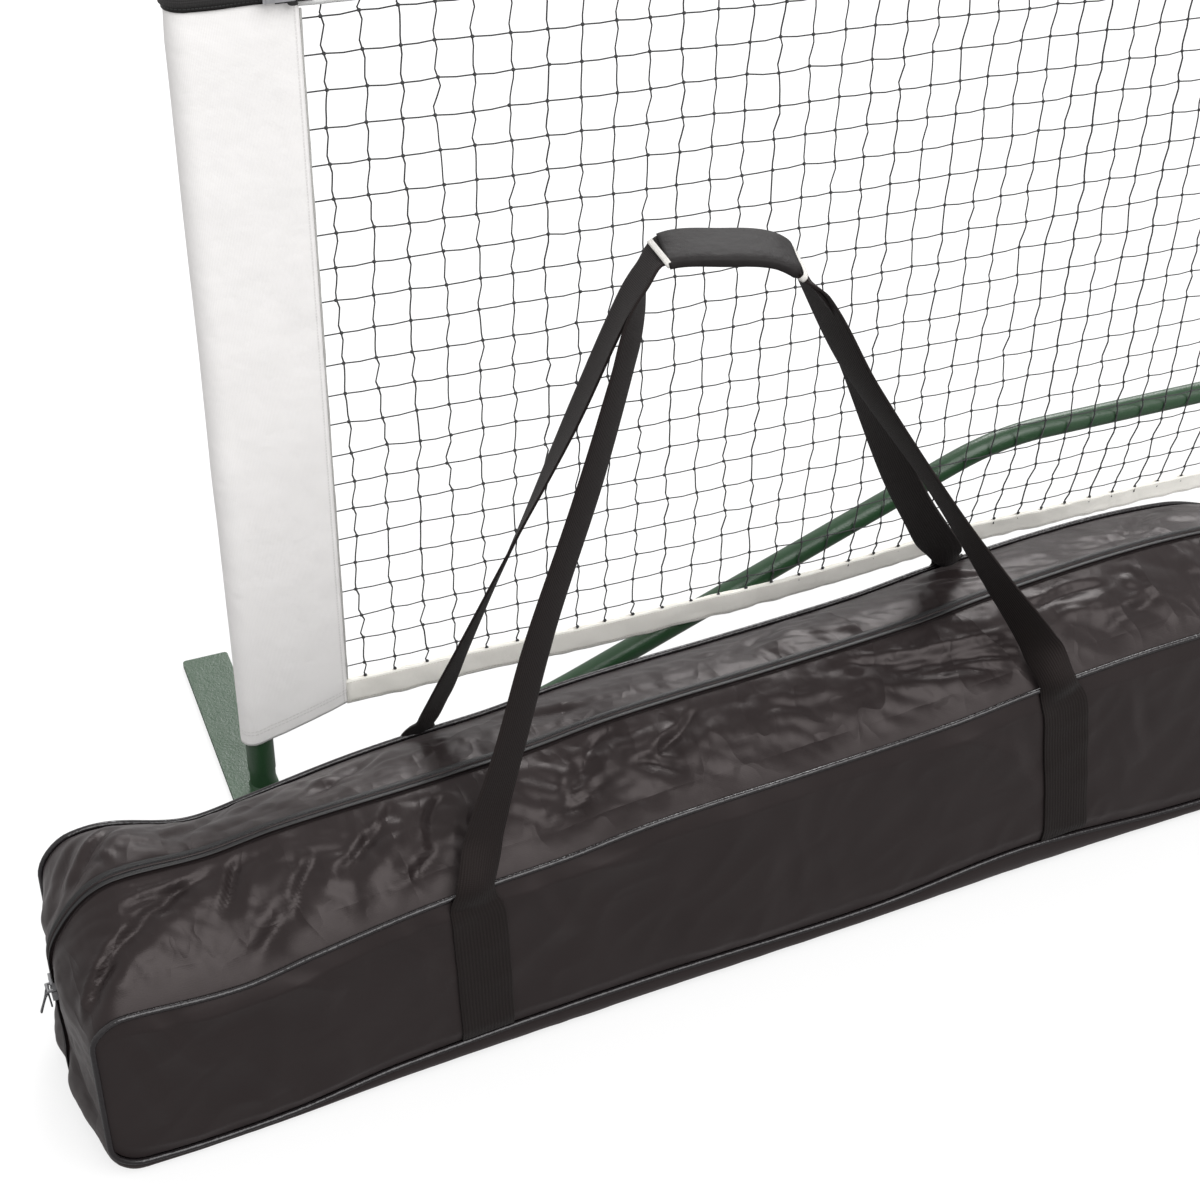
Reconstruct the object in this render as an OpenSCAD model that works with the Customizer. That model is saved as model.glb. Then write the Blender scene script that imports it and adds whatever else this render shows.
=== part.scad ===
// Portable court net: a steel frame that plugs together, a net that drops over its posts,
// and the carry bag that the set packs into. Millimetres. +X runs along the net, +Y towards
// the back, +Z up. The origin is on the floor under the middle of the net.

/* [Court] */
// Distance between the axes of the two end posts
post_span = 6705.6; // [4600:50:7400]
// Height of the top tape at the end posts
side_height = 914.4; // [850:5:1000]
// Height of the top tape in the middle
centre_height = 863.6; // [800:5:849]

/* [Base plates] */
// Length of a flat foot, across the net
plate_length = 457.2; // [360:10:600]
// Width of a flat foot
plate_width = 50.8; // [44:1:70]
// Thickness of a flat foot
plate_thick = 6; // [4:0.5:10]
// Corner radius of a flat foot
plate_corner = 4; // [1:1:12]
// How far an end foot sits outboard of its post
plate_offset = 10; // [6:1:11]

/* [End posts] */
// Outside diameter of an end post
post_d = 28.6; // [27.4:0.2:30]
// Wall of an end post
post_wall = 1.3; // [0.9:0.1:1.6]
// Outside diameter of the stub that a post slides over
stub_d = 25.4; // [23:0.2:25.4]
// Wall of the stub
stub_wall = 1.5; // [1:0.1:2]
// Height of the stub's top above the floor
stub_top = 132; // [110:2:180]
// Diameter of the collar that the post stands on
collar_d = 27.2; // [26.4:0.2:28]
// Height of the collar's top above the floor
collar_top = 27; // [24:1:34]
// Height of the spring button above the floor
button_z = 57; // [52:1:64]
// Thickness of a plastic cap's rim
cap_rim = 3; // [2:0.5:5]
// Depth of a cap's plug inside its tube
cap_plug = 18; // [10:1:30]

/* [Crossbar] */
// Outside diameter of the crossbar tube
rail_d = 25.4; // [22:0.2:25.4]
// Wall of the crossbar tube
rail_wall = 1.2; // [0.9:0.1:1.5]
// Gap all round between a swaged end and the tube that it enters
swage_gap = 0.2; // [0.1:0.05:0.4]
// Length of a swaged end
swage_length = 60; // [40:5:90]
// Height of the crossbar's axis over the middle of the court
arch_height = 243; // [200:1:300]
// Distance from the post to where the crossbar starts to climb
arch_start = 307; // [270:1:360]
// Angle at which the crossbar climbs
arch_slope = 21.7; // [18:0.1:28]
// Radius of the bends, to the tube's axis
bend_radius = 320; // [200:10:380]
// Distance from the post to the end of the stub that is welded to the foot
stub_reach = 170; // [120:5:190]
// Distance past the post to which the stub reaches back over the foot
stub_back = 30; // [10:1:32]
// Angle at which the stub runs forward from the crossbar's line towards the foot
stub_swing = 15; // [12:0.5:18]
// Distance from the post to the inner end of the bent tube
bent_reach = 1190; // [1100:10:1300]

/* [Centre support] */
// Height of the centre leg
leg_top = 305; // [290:5:400]
// Length of an arm, from the leg's axis to its shoulder
arm_reach = 45; // [35:1:70]
// Outside diameter of the centre post
centre_post_d = 21; // [19:0.2:21.2]
// Wall of the centre post
centre_post_wall = 1.1; // [0.8:0.1:1.4]
// How deep the centre post stands inside the leg
centre_insert = 85; // [60:5:120]
// Distance from the leg's top down to its spring button
centre_button_drop = 20; // [14:1:28]

/* [Spring buttons] */
// Diameter of a button
button_d = 8; // [6:0.5:9]
// How far a button stands out of its tube
button_proud = 4; // [3:0.5:5]
// Gap all round a button in its holes
button_gap = 0.3; // [0.3:0.05:0.5]
// Thickness of a button's flange and of its spring
spring_thick = 0.8; // [0.6:0.1:1]
// Width of the leaf spring
spring_width = 8; // [6:0.5:9]

/* [Net] */
// Distance of the net's plane in front of the frame's plane
net_forward = 15.5; // [15.5:0.1:18]
// Thickness of the netting
mesh_thick = 3; // [2:0.5:3]
// Width of a strand
strand = 4; // [3:0.5:6]
// Number of gaps along the net
gaps_along = 48; // [40:2:48]
// Number of gaps up the net
gaps_up = 6; // [4:1:6]
// Width of the top tape
top_tape_h = 50; // [40:1:60]
// Width of the bottom tape
bottom_tape_h = 30; // [20:1:34]
// Height of the bottom tape's lower edge at the posts
bottom_tape_z = 101; // [92:1:120]
// Thickness of tape, sleeve and strap fabric
tape_wall = 1; // [0.8:0.1:1.2]
// Diameter of the headline inside the top tape
headline_d = 6; // [4:0.5:7]
// Diameter of the cord down each side of the netting
side_cord_d = 3; // [2:0.5:3]

/* [Side sleeves] */
// Distance from the post's axis to the sleeve's inner edge
sleeve_reach = 92; // [80:1:120]
// Distance from the post's axis to the seam that closes the pocket
pocket_reach = 42; // [36:1:60]
// Wall of the sleeve
sleeve_wall = 1.2; // [1:0.1:1.5]
// Gap between the post and the sleeve
sleeve_gap = 0.5; // [0.4:0.1:0.8]
// Height of the hem under the post
hem_low = 70; // [66:1:80]
// Height that the hem gains by the sleeve's inner edge
hem_rise = 31; // [20:1:40]

/* [Corner caps and tension straps] */
// Height of a corner cap's side
corner_h = 49; // [44:1:60]
// Wall of a corner cap
corner_wall = 1.5; // [1.2:0.1:2]
// How far a corner cap reaches past the sleeve
corner_lap = 13; // [8:1:20]
// Width of a tension strap
strap_w = 25; // [20:1:28]
// Thickness of a tension strap
strap_thick = 1.6; // [1.2:0.1:2]
// Length of a buckle along the strap
buckle_length = 28; // [24:1:36]
// Radius of a lever's cam
cam_r = 3.2; // [3:0.1:3.6]
// Diameter of a lever's pin
buckle_pin_d = 3; // [2:0.5:3.5]
// Running clearance on the pins of levers and zip pulls
pin_gap = 0.05; // [0.03:0.01:0.08]
// Side clearance of moving pieces
side_gap = 0.3; // [0.3:0.1:0.5]

/* [Carry bag] */
// Distance from the left post to the bag's middle, along the net
bag_from_post = 408; // [380:2:900]
// Distance of the bag's middle in front of the frame
bag_forward = 323; // [323:1:500]
// Angle between the bag and the net
bag_yaw = 1.5; // [0:0.1:10]
// Length of the bag
bag_length = 1300; // [1240:10:1500]
// Depth of the bag between its panels
bag_depth = 200; // [160:5:220]
// Height of the front panel where the bag is fullest
bag_full_h = 263; // [250:1:280]
// How far the top swells above the panels
bag_crown = 42; // [30:1:50]
// How much higher the back panel's edge stands
bag_back_rise = 6; // [0:1:12]
// Usual height of the panels' lower edges
bag_hem_z = 34; // [26:1:40]
// How far the ends swell out
bag_end_swell = 12; // [6:1:18]
// Corner radius of the panels
panel_corner = 28; // [20:1:40]
// Top corner radius along the middle of the gusset
crown_corner = 60; // [50:1:64]
// Fabric thickness
bag_wall = 2; // [1.5:0.1:2.5]
// Diameter of the piping
piping_d = 5; // [3:0.5:6]

/* [Zip] */
// Half width of the zip's tapes, as a share of the half depth
zip_half = 0.13; // [0.1:0.01:0.16]
// Thickness of the zip's tapes
zip_tape_t = 1; // [0.8:0.1:1.5]
// Height of the closed teeth over the bag
zip_teeth_t = 2.6; // [2.2:0.1:3]
// Width of the closed teeth
zip_teeth_w = 6; // [5:0.5:7]
// Height at which the two sliders meet
slider_meet_z = 148; // [125:1:152]
// Length of a slider
slider_length = 10; // [8:0.5:12]
// Width of a slider
slider_w = 13; // [11:0.5:15]
// Depth of a slider over the bag's surface
slider_t = 6; // [5:0.5:7]
// Length of a pull
pull_length = 26; // [20:1:50]
// Width of a pull
pull_w = 7; // [5:0.5:8]
// Thickness of a pull
pull_t = 1.6; // [1.2:0.1:2]
// Diameter of the pin that a pull hangs on
pull_pin_d = 2.6; // [2:0.1:3]

/* [Handles] */
// Width of the webbing
webbing_w = 50; // [38:1:52]
// Thickness of the webbing
webbing_t = 2.2; // [1.6:0.1:2.4]
// Height of the grip's middle
grip_z = 742; // [700:1:760]
// Place of the grip's left end along the bag
grip_left = -110; // [-130:5:-90]
// Length of the grip
grip_length = 112; // [100:2:130]
// Thickness of the grip's wrap
grip_wall = 3; // [2:0.5:4]

/* [Hidden] */
$fn = 48;

steel_green = [0.2, 0.3, 0.2];
zinc = [0.7, 0.7, 0.72];
black_plastic = [0.06, 0.06, 0.06];
white_cloth = [0.92, 0.91, 0.9];
cream_tape = [0.89, 0.88, 0.83];
black_cloth = [0.17, 0.15, 0.16];
black_webbing = [0.12, 0.11, 0.11];

post_x = post_span / 2;
post_r = post_d / 2;
stub_r = stub_d / 2;
collar_r = collar_d / 2;
rail_r = rail_d / 2;
rail_bore = rail_r - rail_wall;
swage_r = rail_bore - swage_gap;
swage_bore = swage_r - rail_wall;
centre_post_r = centre_post_d / 2;
button_hole_r = button_d / 2 + button_gap;
rail_low = plate_thick + rail_r;
mid_reach = (bent_reach + post_x - arm_reach) / 2;
shoulder = 1.2;
eps = 0.01;
far = 4 * post_span;

// The net's own heights, at the posts
sag = (side_height - centre_height) / post_x;
sag_angle = atan(sag);
tape_thick = mesh_thick + 2 * tape_wall;
roll_r = headline_d / 2 + 1.2;
top_tape_z = side_height - top_tape_h;
netting_top = side_height - 2 * roll_r - 2;
netting_low = bottom_tape_z + tape_wall;
net_edge = post_x - sleeve_reach - side_cord_d;
tape_end = post_x - sleeve_reach;

// Corner caps rest on the post caps
cap_top = side_height + 1;
corner_low = cap_top + side_gap + corner_wall - corner_h;
strap_low = corner_low + 5;
buckle_h = strap_w + 10;
sleeve_r = post_r + sleeve_gap + sleeve_wall;
corner_r = sleeve_r + corner_wall;
corner_half = tape_thick / 2 + corner_wall;
corner_reach = sleeve_reach + corner_lap;
buckle_x = corner_reach - buckle_length / 2 - 5;
buckle_front = -net_forward - corner_half;
cam_y = buckle_front - 2 - 0.5 - cam_r;

centre_cap_top = centre_height - 2 * roll_r - 1.5 - side_gap;
centre_button_z = leg_top - centre_button_drop;

// ---------------------------------------------------------------- shared forms

// What is drawn round the left post, moved to it
module at_left_post() {
    translate([-post_x, 0, 0])
        children();
}

// The same on the right, as its mirror image
module at_right_post() {
    mirror([1, 0, 0])
        at_left_post()
            children();
}

// A round bar along +X
module bar_x(length, r) {
    rotate([0, 90, 0])
        cylinder(h = length, r = r);
}

// A tube along +X
module tube_x(length, r, bore) {
    difference() {
        bar_x(length, r);
        translate([-eps, 0, 0])
            bar_x(length + 2 * eps, bore);
    }
}

// A tube along +Z
module tube_z(low, high, r, bore) {
    translate([0, 0, low])
        difference() {
            cylinder(h = high - low, r = r);
            translate([0, 0, -eps])
                cylinder(h = high - low + 2 * eps, r = bore);
        }
}

// The hole that a spring button stands in, towards +Y
module button_hole(z) {
    translate([0, 0, z])
        rotate([-90, 0, 0])
            cylinder(h = post_d, r = button_hole_r);
}

// A flat outline in the net's plane, with its middle line on y
module upright_sheet(y, thick) {
    translate([0, y + thick / 2, 0])
        rotate([90, 0, 0])
            linear_extrude(thick)
                children();
}

// Height of a line that is at z at the posts and sags towards the middle
function sagged(x, z) = z - sag * (post_x - abs(x));

// Two triangles for each cell between ring a and ring b of n points
function band_faces(a, b, n) = [
    for (i = [0:n - 1])
        let (j = (i + 1) % n)
        each [[a + i, a + j, b + j], [a + i, b + j, b + i]]
];

// ---------------------------------------------------------------- feet and stubs

module foot() {
    l = plate_length - 2 * plate_corner;
    w = plate_width - 2 * plate_corner;
    linear_extrude(plate_thick)
        union() {
            square([plate_width, l], center = true);
            square([w, plate_length], center = true);
            for (x = [-w / 2, w / 2], y = [-l / 2, l / 2])
                translate([x, y])
                    circle(r = plate_corner);
        }
}

module end_foot() {
    translate([-plate_offset, 0, 0])
        foot();
}

// Upright stub: collar, spigot and a weld bead round its base
module post_stub() {
    weld = 1.4;
    difference() {
        union() {
            tube_z(plate_thick, stub_top, stub_r, stub_r - stub_wall);
            tube_z(plate_thick, collar_top, collar_r, stub_r - stub_wall);
            translate([0, 0, plate_thick])
                difference() {
                    cylinder(h = 2 * weld, r1 = collar_r + weld, r2 = collar_r);
                    translate([0, 0, -eps])
                        cylinder(h = 3 * weld, r = stub_r - stub_wall);
                }
        }
        button_hole(button_z);
    }
}

// Level stub for the crossbar, welded across the foot in front of the post. Two beads of
// weld run along it on the foot.
module rail_stub() {
    start = level_ring(-stub_back, rail_r);
    bead = plate_width - 12;
    translate([start[0], start[1], 0])
        rotate([0, 0, stub_swing])
            difference() {
                union() {
                    translate([0, 0, rail_low])
                        bar_x(stub_reach + stub_back, rail_r);
                    translate([3, -rail_r * 0.6, plate_thick])
                        cube([bead, 1.2 * rail_r, rail_r / 2]);
                }
                translate([-eps, 0, rail_low])
                    bar_x(stub_reach + stub_back + 2 * eps, rail_bore);
            }
}

// ---------------------------------------------------------------- posts

module end_post() {
    difference() {
        tube_z(collar_top, cap_top - cap_rim, post_r, post_r - post_wall);
        button_hole(button_z);
    }
}

// Push-in plastic cap: a rim and a plug
module cap(top, r, bore) {
    translate([0, 0, top - cap_rim])
        cylinder(h = cap_rim, r = r);
    translate([0, 0, top - cap_rim - cap_plug])
        cylinder(h = cap_plug + eps, r = bore);
}

module post_cap() {
    cap(cap_top, post_r, post_r - post_wall);
}

// ---------------------------------------------------------------- crossbar

// Where the bends start and end, from the post
tangent_length = bend_radius * tan(arch_slope / 2);
arch_rise = arch_height - rail_low;
arch_end = arch_start + arch_rise / tan(arch_slope);
low_bend_x = arch_start - tangent_length;
high_bend_x = arch_end + tangent_length;
bend_steps = 4;
bent_sides = 24;

// The low bend also swings the tube forward, to reach the foot in front of the post.
// Distance forward of the net's line at the low bend's ring k:
function swing_y(k) = k >= bend_steps ? 0 : swing_y(k + 1)
    - bend_radius * (sin(arch_slope * (k + 1) / bend_steps) - sin(arch_slope * k / bend_steps))
    * tan(stub_swing * (1 - (k + 0.5) / bend_steps));

// A ring of the tube: x, y, z, its climb, its swing and its radius. This is one of radius r
// on the level stretch, at distance s from the post.
function level_ring(s, r) = [
    low_bend_x - (low_bend_x - s) * cos(stub_swing),
    swing_y(0) - (low_bend_x - s) * sin(stub_swing),
    rail_low, 0, stub_swing, r
];

// The bends of a tube of radius r, ring by ring
function bends(r) = concat(
    [
        for (k = [0:bend_steps])
            let (a = arch_slope * k / bend_steps)
            [
                low_bend_x + bend_radius * sin(a), swing_y(k), rail_low + bend_radius * (1 - cos(a)),
                a, stub_swing * (1 - k / bend_steps), r
            ]
    ],
    [
        for (k = [0:bend_steps])
            let (a = arch_slope * (1 - k / bend_steps))
            [high_bend_x - bend_radius * sin(a), 0, arch_height - bend_radius * (1 - cos(a)), a, 0, r]
    ],
    [[bent_reach, 0, arch_height, 0, 0, r]]
);

// The outside and the inside of the bent tube with its reduced end
bent_outside = concat(
    [
        level_ring(stub_reach - swage_length, swage_r),
        level_ring(stub_reach, swage_r),
        level_ring(stub_reach, rail_r)
    ],
    bends(rail_r)
);
bent_inside = concat(
    [
        level_ring(stub_reach - swage_length, swage_bore),
        level_ring(stub_reach + shoulder, swage_bore),
        level_ring(stub_reach + shoulder, rail_bore)
    ],
    bends(rail_bore)
);

// Points round a ring of the bent tube
function bent_ring(ring) = [
    for (k = [0:bent_sides - 1])
        let (
            around = 360 * k / bent_sides,
            back = -ring[5] * cos(around) * sin(ring[3]),
            aside = ring[5] * sin(around)
        )
        [
            ring[0] + back * cos(ring[4]) - aside * sin(ring[4]),
            ring[1] + back * sin(ring[4]) + aside * cos(ring[4]),
            ring[2] + ring[5] * cos(around) * cos(ring[3])
        ]
];

// The bent tube: reduced end, level, bend, climb, bend, level
module bent_rail() {
    n = bent_sides;
    rings = len(bent_outside);
    skin = rings * n;
    outer = [for (ring = bent_outside) each bent_ring(ring)];
    inner = [for (ring = bent_inside) each bent_ring(ring)];
    faces = concat(
        [for (k = [0:rings - 2]) each band_faces(k * n, (k + 1) * n, n)],
        [for (k = [0:rings - 2]) each band_faces(skin + (k + 1) * n, skin + k * n, n)],
        band_faces(skin, 0, n),
        band_faces((rings - 1) * n, skin + (rings - 1) * n, n)
    );
    polyhedron(points = concat(outer, inner), faces = faces, convexity = 6);
}

// The reduced end of a tube, behind a shoulder at x
module swage(x, z) {
    translate([x - swage_length, 0, z])
        tube_x(swage_length + shoulder, swage_r, swage_bore);
    translate([x, 0, z])
        tube_x(shoulder, rail_r, swage_bore);
}

module straight_rail(from, to) {
    translate([from, 0, arch_height])
        tube_x(to - from, rail_r, rail_bore);
    swage(from, arch_height);
}

// ---------------------------------------------------------------- centre support

module leg() {
    difference() {
        tube_z(plate_thick, leg_top, rail_r, rail_bore);
        button_hole(centre_button_z);
    }
}

// One arm: a full-size neck welded to the leg, then the end that enters the rail
module arm() {
    translate([0, 0, arch_height])
        difference() {
            union() {
                bar_x(arm_reach, rail_r);
                bar_x(arm_reach + swage_length, swage_r);
            }
            translate([-eps, 0, 0])
                bar_x(arm_reach + swage_length + 1, swage_bore);
            translate([0, 0, -rail_d])
                cylinder(h = 2 * rail_d, r = rail_r);
        }
}

module middle_post() {
    difference() {
        tube_z(leg_top - centre_insert, centre_cap_top - cap_rim,
            centre_post_r, centre_post_r - centre_post_wall);
        button_hole(centre_button_z);
    }
}

// ---------------------------------------------------------------- spring buttons

// A button with a bevelled head, held in by its flange, from bore out past r
module spring_button(z, bore, r) {
    seat = sqrt(pow(bore, 2) - pow(button_d / 2 + 1.2, 2));
    flange = seat - spring_thick - 0.4;
    translate([0, 0, z])
        rotate([-90, 0, 0]) {
            translate([0, 0, flange])
                cylinder(h = spring_thick, r = button_d / 2 + 1.2);
            translate([0, 0, flange])
                cylinder(h = r + button_proud - 1 - flange, r = button_d / 2);
            translate([0, 0, r + button_proud - 1])
                cylinder(h = 1, r1 = button_d / 2, r2 = button_d / 2 - 1);
        }
}

// A leaf bent into a U inside the tube, open upwards, that pushes the button out
module leaf_spring(z, bore) {
    seat = sqrt(pow(bore, 2) - pow(button_d / 2 + 1.2, 2));
    front = seat - spring_thick - 0.4;
    wall_y = sqrt(pow(bore, 2) - pow(spring_width / 2, 2)) - 0.1;
    bow = (front + wall_y) / 2;
    mid_y = (front - wall_y) / 2;
    leg_h = 30;
    translate([-spring_width / 2, 0, z]) {
        translate([0, front - spring_thick, -leg_h + 6])
            cube([spring_width, spring_thick, leg_h]);
        translate([0, -wall_y, -leg_h + 6])
            cube([spring_width, spring_thick, leg_h]);
        translate([0, mid_y, -leg_h + 6])
            intersection() {
                tube_x(spring_width, bow, bow - spring_thick);
                translate([-1, -2 * bow, -4 * bow])
                    cube([spring_width + 2, 4 * bow, 4 * bow]);
            }
    }
}

// ---------------------------------------------------------------- netting and tapes

// The netting: an outline with a peak at each end, pierced by rows of gaps
module netting() {
    low = netting_low;
    high = netting_top;
    gap_low = bottom_tape_z + bottom_tape_h;
    pitch_x = 2 * net_edge / gaps_along;
    pitch_z = (top_tape_z - gap_low) / gaps_up;
    outline = [
        [-net_edge, sagged(net_edge, low)], [0, sagged(0, low)], [net_edge, sagged(net_edge, low)],
        [net_edge, sagged(net_edge, high)], [0, sagged(0, high)], [-net_edge, sagged(net_edge, high)]
    ];
    gaps = [
        for (i = [0:gaps_along - 1], j = [0:gaps_up - 1])
            let (
                x0 = -net_edge + i * pitch_x + strand / 2,
                x1 = x0 + pitch_x - strand,
                z0 = gap_low + j * pitch_z + strand / 2,
                z1 = z0 + pitch_z - strand
            )
            each [
                [x0, sagged(x0, z0)], [x1, sagged(x1, z0)],
                [x1, sagged(x1, z1)], [x0, sagged(x0, z1)]
            ]
    ];
    rings = [
        [for (k = [0:5]) k],
        for (g = [0:gaps_along * gaps_up - 1]) [for (k = [0:3]) 6 + 4 * g + k]
    ];
    upright_sheet(-net_forward, mesh_thick)
        polygon(points = concat(outline, gaps), paths = rings);
}

// Half of something that runs along the sagging top or bottom edge. The profile's
// x is across the net and its y is up, and its origin runs along the line at z.
module along_edge(z, end) {
    intersection() {
        translate([0, -net_forward, sagged(0, z)])
            rotate([0, -sag_angle, 0])
                translate([-10, 0, 0])
                    rotate([90, 0, 90])
                        linear_extrude(end / cos(sag_angle) + 20)
                            children();
        translate([0, -post_d - net_forward, 0])
            cube([end, 2 * post_d + 2 * net_forward, 2 * side_height]);
    }
}

module both_halves() {
    children();
    mirror([1, 0, 0])
        children();
}

// Folded tape with the headline rolled into its fold
module top_tape_profile() {
    flat_h = top_tape_h - roll_r;
    difference() {
        union() {
            translate([-tape_thick / 2, 0])
                square([tape_thick, flat_h]);
            translate([0, flat_h])
                circle(r = roll_r);
        }
        translate([-mesh_thick / 2, -1])
            square([mesh_thick, top_tape_h - 2 * roll_r - 2 + 1]);
        translate([0, flat_h])
            circle(r = headline_d / 2 + 0.1);
    }
}

module bottom_tape_profile() {
    difference() {
        translate([-tape_thick / 2, 0])
            square([tape_thick, bottom_tape_h]);
        translate([-mesh_thick / 2, tape_wall])
            square([mesh_thick, bottom_tape_h]);
    }
}

module side_cord() {
    low = bottom_tape_z + bottom_tape_h;
    translate([sleeve_reach + side_cord_d / 2, -net_forward, low])
        cylinder(h = top_tape_z - low - 0.5, r = side_cord_d / 2);
}

// ---------------------------------------------------------------- sleeves and corners

// Direction in which a line from point p touches a circle of radius r about the origin
function touch_angle(p, r, side) = atan2(p[1], p[0]) + side * acos(r / norm(p));

// A circle drawn out to an edge of half-width half at x, on the net's plane
module drawn_circle(r, x, half) {
    back = [x, -net_forward + half];
    front = [x, -net_forward - half];
    from = touch_angle(back, r, 1);
    to = touch_angle(front, r, -1) + 360;
    steps = 20;
    polygon(concat(
        [back],
        [for (k = [0:steps]) r * [cos(from + (to - from) * k / steps), sin(from + (to - from) * k / steps)]],
        [front]
    ));
}

// The outline of the sleeve: a pocket round the post and a flat flap
module sleeve_profile() {
    difference() {
        drawn_circle(sleeve_r, pocket_reach, sleeve_wall);
        drawn_circle(sleeve_r - sleeve_wall, pocket_reach - 2, 0.05);
    }
    translate([pocket_reach - 1, -net_forward - sleeve_wall])
        square([sleeve_reach - pocket_reach + 1, 2 * sleeve_wall]);
}

// The sleeve, with a hem that rises towards the netting
module sleeve() {
    hem_angle = atan(hem_rise / (sleeve_reach + sleeve_r));
    difference() {
        translate([0, 0, hem_low - 5])
            linear_extrude(cap_top - 10 - hem_low + 5)
                sleeve_profile();
        translate([-sleeve_r, -post_d, hem_low])
            rotate([0, -hem_angle, 0])
                translate([-post_d, 0, -2 * hem_low])
                    cube([3 * sleeve_reach, 3 * post_d, 2 * hem_low]);
    }
}

// The outside of a corner cap, grown or shrunk by grow
module corner_outline(grow) {
    drawn_circle(corner_r + grow, pocket_reach, corner_half + grow);
    translate([pocket_reach - 1, -net_forward - corner_half - grow])
        square([corner_reach - pocket_reach + 1, 2 * (corner_half + grow)]);
}

// Hood over the post's top, the sleeve and the end of the top tape
module corner() {
    difference() {
        translate([0, 0, corner_low])
            linear_extrude(corner_h)
                corner_outline(0);
        translate([0, 0, corner_low - 1])
            linear_extrude(corner_h + 1 - corner_wall) {
                corner_outline(-corner_wall);
                translate([corner_reach - 2, -net_forward - tape_thick / 2 - 0.1])
                    square([4, tape_thick + 0.2]);
            }
        // Room for the headline's fold
        translate([sleeve_reach - eps, -net_forward, sagged(post_x - sleeve_reach - 6, side_height - roll_r)])
            bar_x(corner_lap + 1, roll_r + 0.4);
    }
}

// Webbing that passes round the back of the corner cap and ends at the buckle
module tension_strap() {
    end = buckle_x - buckle_length / 2;
    translate([0, 0, strap_low])
        linear_extrude(strap_w)
            difference() {
                intersection() {
                    corner_outline(strap_thick);
                    translate([-2 * post_d, -2 * post_d])
                        square([2 * post_d + end, 4 * post_d]);
                }
                corner_outline(0);
            }
}

// ---------------------------------------------------------------- buckles

module buckle() {
    cheek = 3.5;
    low = strap_low - (buckle_h - strap_w) / 2;
    difference() {
        translate([buckle_x - buckle_length / 2, buckle_front - 2, low])
            cube([buckle_length, 2, buckle_h]);
        translate([buckle_x + buckle_length / 2 - 8, buckle_front - 3, strap_low])
            cube([4, 4, strap_w]);
    }
    for (z = [low, low + buckle_h - cheek])
        translate([buckle_x, 0, z])
            difference() {
                union() {
                    translate([0, cam_y, 0])
                        cylinder(h = cheek, r = cam_r + 1);
                    translate([-cam_r - 1, cam_y, 0])
                        cube([2 * cam_r + 2, buckle_front - 2 - cam_y, cheek]);
                }
                translate([0, cam_y, -1])
                    cylinder(h = cheek + 2, r = buckle_pin_d / 2);
            }
}

module buckle_pin() {
    translate([buckle_x, cam_y, strap_low - (buckle_h - strap_w) / 2])
        cylinder(h = buckle_h, r = buckle_pin_d / 2);
}

// Lever: a cam round the pin and a blade that lies back over the strap
module buckle_lever() {
    cheek = 3.5;
    low = strap_low - (buckle_h - strap_w) / 2 + cheek + side_gap;
    width = buckle_h - 2 * cheek - 2 * side_gap;
    blade = 24;
    difference() {
        union() {
            translate([buckle_x, cam_y, low])
                cylinder(h = width, r = cam_r);
            translate([buckle_x - blade, cam_y - cam_r, low])
                cube([blade, 2, width]);
            translate([buckle_x - blade, cam_y - cam_r + 1, low])
                cylinder(h = width, r = 1.8);
        }
        translate([buckle_x, cam_y, low - 1])
            cylinder(h = width + 2, r = buckle_pin_d / 2 + pin_gap);
    }
}

// ---------------------------------------------------------------- centre pocket

// Cloth pocket on the back of the top tape, which rests on the centre post's cap
module pocket() {
    r = centre_post_r + side_gap;
    top = centre_cap_top + side_gap + 1.5;
    low = centre_height - top_tape_h;
    patch = 44;
    back = -net_forward + tape_thick / 2;
    difference() {
        translate([0, 0, low])
            linear_extrude(top - low)
                union() {
                    circle(r = r + sleeve_wall);
                    translate([-patch / 2, back])
                        square([patch, sleeve_wall]);
                    translate([-8, back])
                        square([16, net_forward - tape_thick / 2 - r + 2]);
                }
        translate([0, 0, low - 1])
            cylinder(h = top - low + 1 - 1.5, r = r);
    }
}

// ---------------------------------------------------------------- bag shell

half_len = bag_length / 2;
half_dep = bag_depth / 2;
corner_steps = 4;
across = [-1, -0.93, -0.5, -zip_half, zip_half, 0.5, 0.93, 1];

// The bag stands a little askew in front of the net's left end
module bag_place() {
    translate([bag_from_post - post_x, -bag_forward, 0])
        rotate([0, 0, bag_yaw])
            children();
}

// The front panel's top edge, as shares of the half length and of the full height
top_shares = [
    [-1, 0.73], [-0.957, 0.735], [-0.812, 0.71], [-0.711, 0.753], [-0.578, 0.806],
    [-0.471, 0.83], [-0.358, 0.845], [-0.243, 0.878], [-0.123, 0.893], [0, 0.9],
    [0.249, 0.926], [0.391, 0.965], [0.649, 1], [0.84, 0.975], [0.93, 0.91], [1, 0.82]
];
function panel_top(x) = bag_full_h * lookup(x / half_len, top_shares);

// The panels' lower edge, as shares of the half length and of its usual height
hem_shares = [
    [-1, 0.65], [-0.89, 0.5], [-0.76, 0.56], [-0.6, 0.94], [-0.26, 1.12], [0.14, 0.97],
    [0.41, 1.35], [0.71, 0.88], [1, 0.7]
];
hem_most = 1.35;

// How much higher than usual the bag's top swells, along its half length
crown_shares = [[-1, 1], [-0.89, 1.3], [-0.76, 1.4], [-0.55, 1.05], [-0.4, 1], [1, 1]];

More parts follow.
